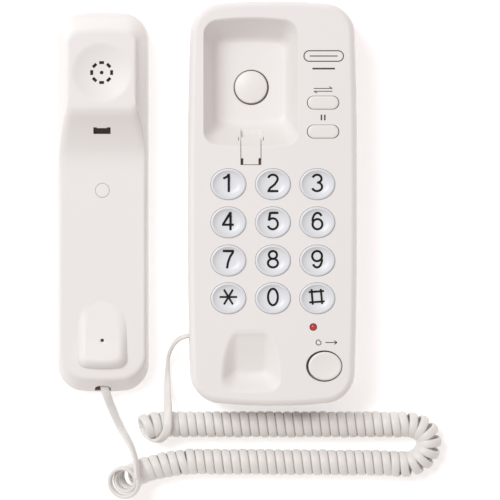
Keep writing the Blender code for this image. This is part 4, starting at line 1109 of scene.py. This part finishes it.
def handset_rings():
    """(side, low end, high end, height) of the rings from the split line up over the shoulder and inwards."""
    shoulder, straight, draft = 0.0040, 0.0170, 0.0006
    rings = [(SEAM, SEAM, SEAM, HANDSET_SPLIT), (0.0, SEAM, 0.0, HANDSET_SPLIT + SEAM * 1.4)]
    for z in (0.0110, 0.0140):
        inset = draft * (z - HANDSET_SPLIT) / 0.009
        rings.append((inset, 0.0, inset, z))
    for angle in quarter_turn(12):
        turned, z = 1 - math.cos(angle), straight + shoulder * math.sin(angle)
        rings.append((draft + 0.0023 * turned, 0.0, draft + 0.0034 * turned, z))
    # The mouth end slopes instead, and its slope bends over into the face.
    slope, bend = 0.50, 0.0016
    crease = HANDSET_FACE - bend
    start, knee, end = slope * (crease - HANDSET_SPLIT), slope * (HANDSET_FACE - HANDSET_SPLIT), 0.0082
    made = []
    for side, low, high, z in rings:
        if z <= crease:
            low = max(low, slope * (z - HANDSET_SPLIT))
        else:
            share = 1 - math.sqrt(max(0.0, (HANDSET_FACE - z) / bend))
            low = (1 - share) ** 2 * start + 2 * share * (1 - share) * knee + share * share * end
        made.append((side, low, high, z))
    side, low, high, z = made[-1]
    inset, room = 0.0, HANDSET_HALF_WIDTH - side
    while inset < room - 0.0012:
        inset += 0.00022 if inset < 0.0036 else 0.0006
        made.append((side + inset, low + inset, high + inset, z))
    return made


def across_strips(ring, end_steps):
    """Faces that close a narrow symmetrical ring from side to side."""
    count = len(ring)
    mirror = count - end_steps  # the sum of the numbers of two points that face each other
    start = -(end_steps // 2)
    faces = []
    for step in range(count // 2):
        a, b = start + step, start + step + 1
        face = [ring[place % count] for place in (a, b, mirror - b, mirror - a)]
        faces.append(tuple(dict.fromkeys(face)))
    return faces


def with_ear(z, ring):
    """The heights over a ring's points of a surface at z that the ear boss grows out of."""
    x, y = ring[:, 0], ring[:, 1]
    return soft_max(np.full(len(ring), z), ear_height(x, y), np.where(y < 0.055, 0.0024, 0.0030))


def mouth_room():
    """The room inside the mouth bump."""
    low, high, half = MOUTH_BOTTOM_Y + 0.0065, MIC_Y + 0.0080, 0.0078
    corners = ((-half, low), (half, low), (half - 0.001, high), (0.001 - half, high))
    corners = [(HANDSET_X + x, y) for x, y in corners]
    ceiling = []
    for x, y in corners:
        ceiling.append((x, y, HANDSET_FACE - HANDSET_WALL + mouth_rise(y)))
    return Shape().loft([at(corners, 0.0165), ceiling]).object("mouth_room")


def handset_inside():
    """Sections of the handset's inner surface, from the middle of its ceiling out and down to the split."""
    wall, counts = HANDSET_WALL, {"side_steps": SIDE_STEPS, "arc_steps": ARC_STEPS}
    side, low, high = 0.0028 + wall, 0.0082 + wall, 0.0034 + wall
    sections = []
    for step in range(12, -1, -1):
        inset = (HANDSET_HALF_WIDTH - side - 0.0010) * step / 12
        ring = np.array(handset_outline(side + inset, low + inset, high + inset, **counts))
        roof = np.minimum(with_ear(HANDSET_FACE, ring) - 1.15 * wall, EAR_CEILING)
        sections.append([(x, y, z) for (x, y), z in zip(ring, roof, strict=True)])
    sections.append(at(handset_outline(0.0006 + wall, 0.0048 + wall, 0.0006 + wall, **counts), 0.0150))
    sections.append(at(handset_outline(wall, wall, wall, **counts), HANDSET_SPLIT))
    return sections


def handset_front():
    inside, outside = handset_inside(), []
    for side, low, high, z in handset_rings():
        ring = np.array(handset_outline(side, low, high, side_steps=SIDE_STEPS, arc_steps=ARC_STEPS))
        height = np.where(z < 0.0165, z, with_ear(z, ring))
        outside.append([(x, y, top) for (x, y), top in zip(ring, height, strict=True)])
    solid = Shape().loft(inside + outside)
    count, last = len(inside[0]), len(solid.points) - len(inside[0])
    solid.faces[:2] = across_strips(range(count), 12) + across_strips(range(last, last + count), 12)
    cover = solid.object("handset_front_shell", SHELL)
    boss = Shape().drum((HANDSET_X, PLUG_Y), 0.0062, 0.0120, HANDSET_FACE - 0.0005, 48)
    joined = (boss.object("plug_boss"), mouth_bump())
    shape_with(cover, joined, cut=(mouth_room(), ear_dish(), front_holes(), plug_bore()))
    finish(cover, "handset", "handset_front_cover")


MOUTH_SIDES = (  # half widths of the mouth bump, from its low end to where it fades into the face
    (-0.0888, 0.0136),
    (-0.0800, 0.0134),
    (-0.0690, 0.0131),
    (-0.0650, 0.0128),
    (-0.0611, 0.0121),
    (-0.0575, 0.0110),
    (-0.0549, 0.0099),
    (-0.0520, 0.0084),
)


def mouth_outline(side, low_end, arc_steps=12):
    """The mouth bump's outline, moved in at its sides and at its low end."""
    y_low, y_high = MOUTH_BOTTOM_Y + low_end, MOUTH_TOP_Y
    wide, corner = MOUTH_SIDES[0][1] - side, 0.0046 - side * 0.4
    points = outline((-wide, wide), (y_low, y_high), (corner, 0.002), (0.0012, 0.0), arc_steps, side_steps=40)
    places, halves = zip(*MOUTH_SIDES, strict=True)
    made = []
    for x, y in points:
        half = float(np.interp(y, places, halves)) - side
        made.append((HANDSET_X + x * half / wide, y))
    return made


def mouth_rise(y):
    """The mouth bump's height over the face, which grows smoothly from nothing."""
    share = max(0.0, (MOUTH_TOP_Y - 0.0004 - y) / (MOUTH_TOP_Y - MOUTH_BOTTOM_Y))
    return MOUTH_HEIGHT * share**1.5 - 0.0001


def mouth_bump():
    """It rises steadily from the face towards the mouth end and has round shoulders."""
    sections = [at(mouth_outline(0, 0), HANDSET_FACE - 0.001)]
    steps = 14
    for step in range(steps + 1):
        inset = (step / steps) ** 1.4
        section = []
        for x, y in mouth_outline(0.0046 * inset, 0.0054 * inset):
            section.append((x, y, HANDSET_FACE + mouth_rise(y) * (1 - (1 - inset) ** 2.1)))
        sections.append(section)
    return Shape().loft(sections).object("mouth_bump")


def ear_dish():
    """A shallow spherical cutter over the ear boss, with a soft lip."""
    sphere = (EAR_DISH_RADIUS**2 + EAR_DISH_DEPTH**2) / (2 * EAR_DISH_DEPTH)
    lip, steps = 0.0012, 40
    profile = [(0.0, EAR_TOP + 0.001), (EAR_DISH_RADIUS + lip, EAR_TOP + 0.001)]
    for step in range(steps + 1):
        radius = (EAR_DISH_RADIUS + lip) * (steps - step) / steps
        sag = math.sqrt(sphere**2 - radius**2) - (sphere - EAR_DISH_DEPTH)
        profile.append((radius, EAR_TOP - float(soft_max(sag, -0.00001, 0.00042))))
    return Shape().turn((HANDSET_X, EAR_Y), profile, 96).object("ear_dish")


def front_holes():
    shape = Shape()
    low, high = EAR_CEILING - 0.002, EAR_TOP + 0.001
    shape.drum((HANDSET_X, EAR_Y), 0.0010, low, high, 24)
    ring, half_long, half_wide = 0.0053, 0.0013, 0.0008
    for step in range(8):
        turn = math.pi * step / 4
        along, across = (math.cos(turn), math.sin(turn)), (-math.sin(turn), math.cos(turn))
        corners = []
        for outward, sideways in ((-1, -1), (1, -1), (1, 1), (-1, 1)):
            reach, aside = ring + outward * half_wide, sideways * half_long
            x, y = along[0] * reach + across[0] * aside, along[1] * reach + across[1] * aside
            corners.append((HANDSET_X + x, EAR_Y + y))
        shape.prism(corners, low, high)
    shape.prism(slot_outline(0.0), 0.0200, 0.0370)
    shape.drum((HANDSET_X, PLUG_Y), PLUG_RADIUS + 0.00012, 0.0138, HANDSET_FACE + PAST, 48)
    bump = HANDSET_FACE + mouth_rise(MIC_Y)
    funnel = [(0, 0.032), (0.0032, 0.032), (0.0032, bump + 0.0008), (0.0017, bump - 0.0001)]
    shape.turn((HANDSET_X, MIC_Y), [*funnel, (0.0009, bump - 0.0004), (0.0009, 0.018), (0, 0.018)], 40)
    half, shoulder, crown = 0.0043, 0.0108, 0.0147
    arch = [(half, HANDSET_SPLIT - PAST), (half, shoulder)]
    for angle in np.linspace(0, math.pi, 18)[1:-1]:
        arch.append((half * math.cos(angle), shoulder + (crown - shoulder) * math.sin(angle)))
    arch += [(-half, shoulder), (-half, HANDSET_SPLIT - PAST)]
    ends = (HANDSET_ENDS[0] - 0.004, HANDSET_ENDS[0] + 0.010)
    shape.loft([[(HANDSET_X + x, y, z) for x, z in arch] for y in ends])
    return shape.object("front_holes")


def slot_outline(shrink):
    """The hook slot, which is a little taller at its two top corners."""
    half, width, ear, rise = 0.0046 - shrink, 0.00175 - shrink, 0.0019, 0.0004
    slot = [(-half, -width), (half, -width), (half, width), (half - ear, width), (half - ear, width - rise)]
    slot += [(ear - half, width - rise), (ear - half, width), (-half, width)]
    return [(HANDSET_X + x, HOOK_SLOT_Y + y) for x, y in slot]


def painted_shade_insides():
    """Painted shade: dark discs and plates behind the openings, in the cord notch and at the bottom of the
    hook slot, and a brown ring in the gap round the hook button, which stand for the shadow inside.
    """
    # painted shade behind the ear holes
    shade_patch = Shape().drum((HANDSET_X, EAR_Y), 0.0078, EAR_CEILING - 0.0004, EAR_CEILING - 0.0001, 40)
    finish(shade_patch.object("receiver_painted_shade", SHADE_DARK), "handset")
    # painted shade in the cord notch at the mouth end
    half, end = 0.0042, HANDSET_ENDS[0]
    low = (HANDSET_X - half, end + 0.0009, HANDSET_SPLIT + 0.0002)
    shade_block = Shape().block(low, (HANDSET_X + half, end + 0.0084, HANDSET_SPLIT + 0.0008))
    finish(shade_block.object("cord_notch_painted_shade", SHADE_BROWN), "handset")
    # painted shade at the bottom of the hook slot
    slot = slot_outline(0.00004)
    sloped = [(x, y, 0.0266 + 0.82 * (y - HOOK_SLOT_Y)) for x, y in slot]
    finish(Shape().loft([at(slot, 0.0228), sloped]).object("hook_slot_painted_shade", SHADE_DARK), "handset")
    # painted shade under the microphone hole
    bump = HANDSET_FACE + mouth_rise(MIC_Y)
    shade_patch = Shape().drum((HANDSET_X, MIC_Y), 0.00086, bump - 0.0019, bump - 0.0012, 24)
    finish(shade_patch.object("microphone_painted_shade", BLACK), "handset")
    # painted shade in the gap round the hook button
    inner, outer, low, high = 0.0089, 0.0093, WELL_FLOOR - 0.0022, WELL_FLOOR - 0.0012
    ring = Shape().tube(hook_hole_place(), ((outer, high), (outer, low), (inner, low), (inner, high)))
    finish(ring.object("hook_gap_painted_shade", SHADE_BROWN), "base")


def plug_bore():
    return Shape().drum((HANDSET_X, PLUG_Y), 0.0016, 0.0100, 0.0150, 20).object("plug_bore")


def even_outline(inset, **counts):
    return handset_outline(inset, inset, inset, **counts)


def handset_back():
    low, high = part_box("handset_back_cover")
    wall, round_inset, round_height = HANDSET_WALL, 0.0078, 0.0062
    sections = []
    for angle in quarter_turn(12):
        height = low.z + round_height * (1 - math.cos(angle))
        sections.append(at(even_outline(round_inset * (1 - math.sin(angle))), height))
    sections += [at(even_outline(0.0), high.z - SEAM * 1.4), at(even_outline(SEAM), high.z)]
    cover = Shape().loft(sections).object("handset_back_shell", SHELL)
    inside = [
        at(even_outline(round_inset, arc_steps=5), wall),
        at(even_outline(0.0016 + wall, arc_steps=5), 0.0042),
        at(even_outline(wall, arc_steps=5), high.z + PAST),
    ]
    tray = Shape().loft(inside).object("tray")
    post = Shape().drum((HANDSET_X, PLUG_Y), 0.0036, 0.001, high.z + 0.003, 24)
    shape_with(tray, cut=[post.object("post")])
    bore = Shape().drum((HANDSET_X, PLUG_Y), 0.0015, 0.0030, high.z + 0.003, 16)
    shape_with(cover, cut=(tray, bore.object("bore")))
    finish(cover, "handset", "handset_back_cover")


def screw_plug():
    low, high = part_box("screw_plug")
    top, soft = high.z, 0.00035
    profile = [(0.0, top)]
    for angle in quarter_turn(6):
        profile.append((PLUG_RADIUS - soft * (1 - math.sin(angle)), top - soft * (1 - math.cos(angle))))
    profile += [(PLUG_RADIUS, low.z), (0.0, low.z)]
    plug = Shape().turn((HANDSET_X, PLUG_Y), profile, 64).object("screw_plug_cap", SHELL)
    finish(plug, "handset", "screw_plug")


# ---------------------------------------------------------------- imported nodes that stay

NODE_FINISHES = {
    BOARD: "main_board",
    RUBBER: "key_mat foot_1 foot_2 foot_3 foot_4 receiver_gasket microphone_boot",
    BLACK: "hook_switch sounder line_jack base_cord_jack receiver_capsule"
    " ringer_switch_knob tone_switch_knob",
    # Painted shade: the cord jack in the handset takes the brown of the shadow in its notch.
    SHADE_BROWN: "handset_cord_jack",
    CLEAR: "cord_handset_plug cord_base_plug",
    STEEL: "ringer_switch tone_switch microphone handset_weight handset_screw"
    " base_screw_1 base_screw_2 base_screw_3 base_screw_4 board_screw_1 board_screw_2",
}


def paint_nodes():
    for material, names in NODE_FINISHES.items():
        for name in names.split():
            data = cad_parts[name].data
            for index in range(len(data.materials)):
                data.materials[index] = material
            if not data.materials:
                data.materials.append(material)


add_camera()
add_cords()
base_top()
base_bottom()
key_caps()
buttons()
hook_button()
hook_spring()
wall_tab()
lamp()
printed_marks()
handset_front()
painted_shade_insides()
handset_back()
screw_plug()
paint_nodes()
add_studio()
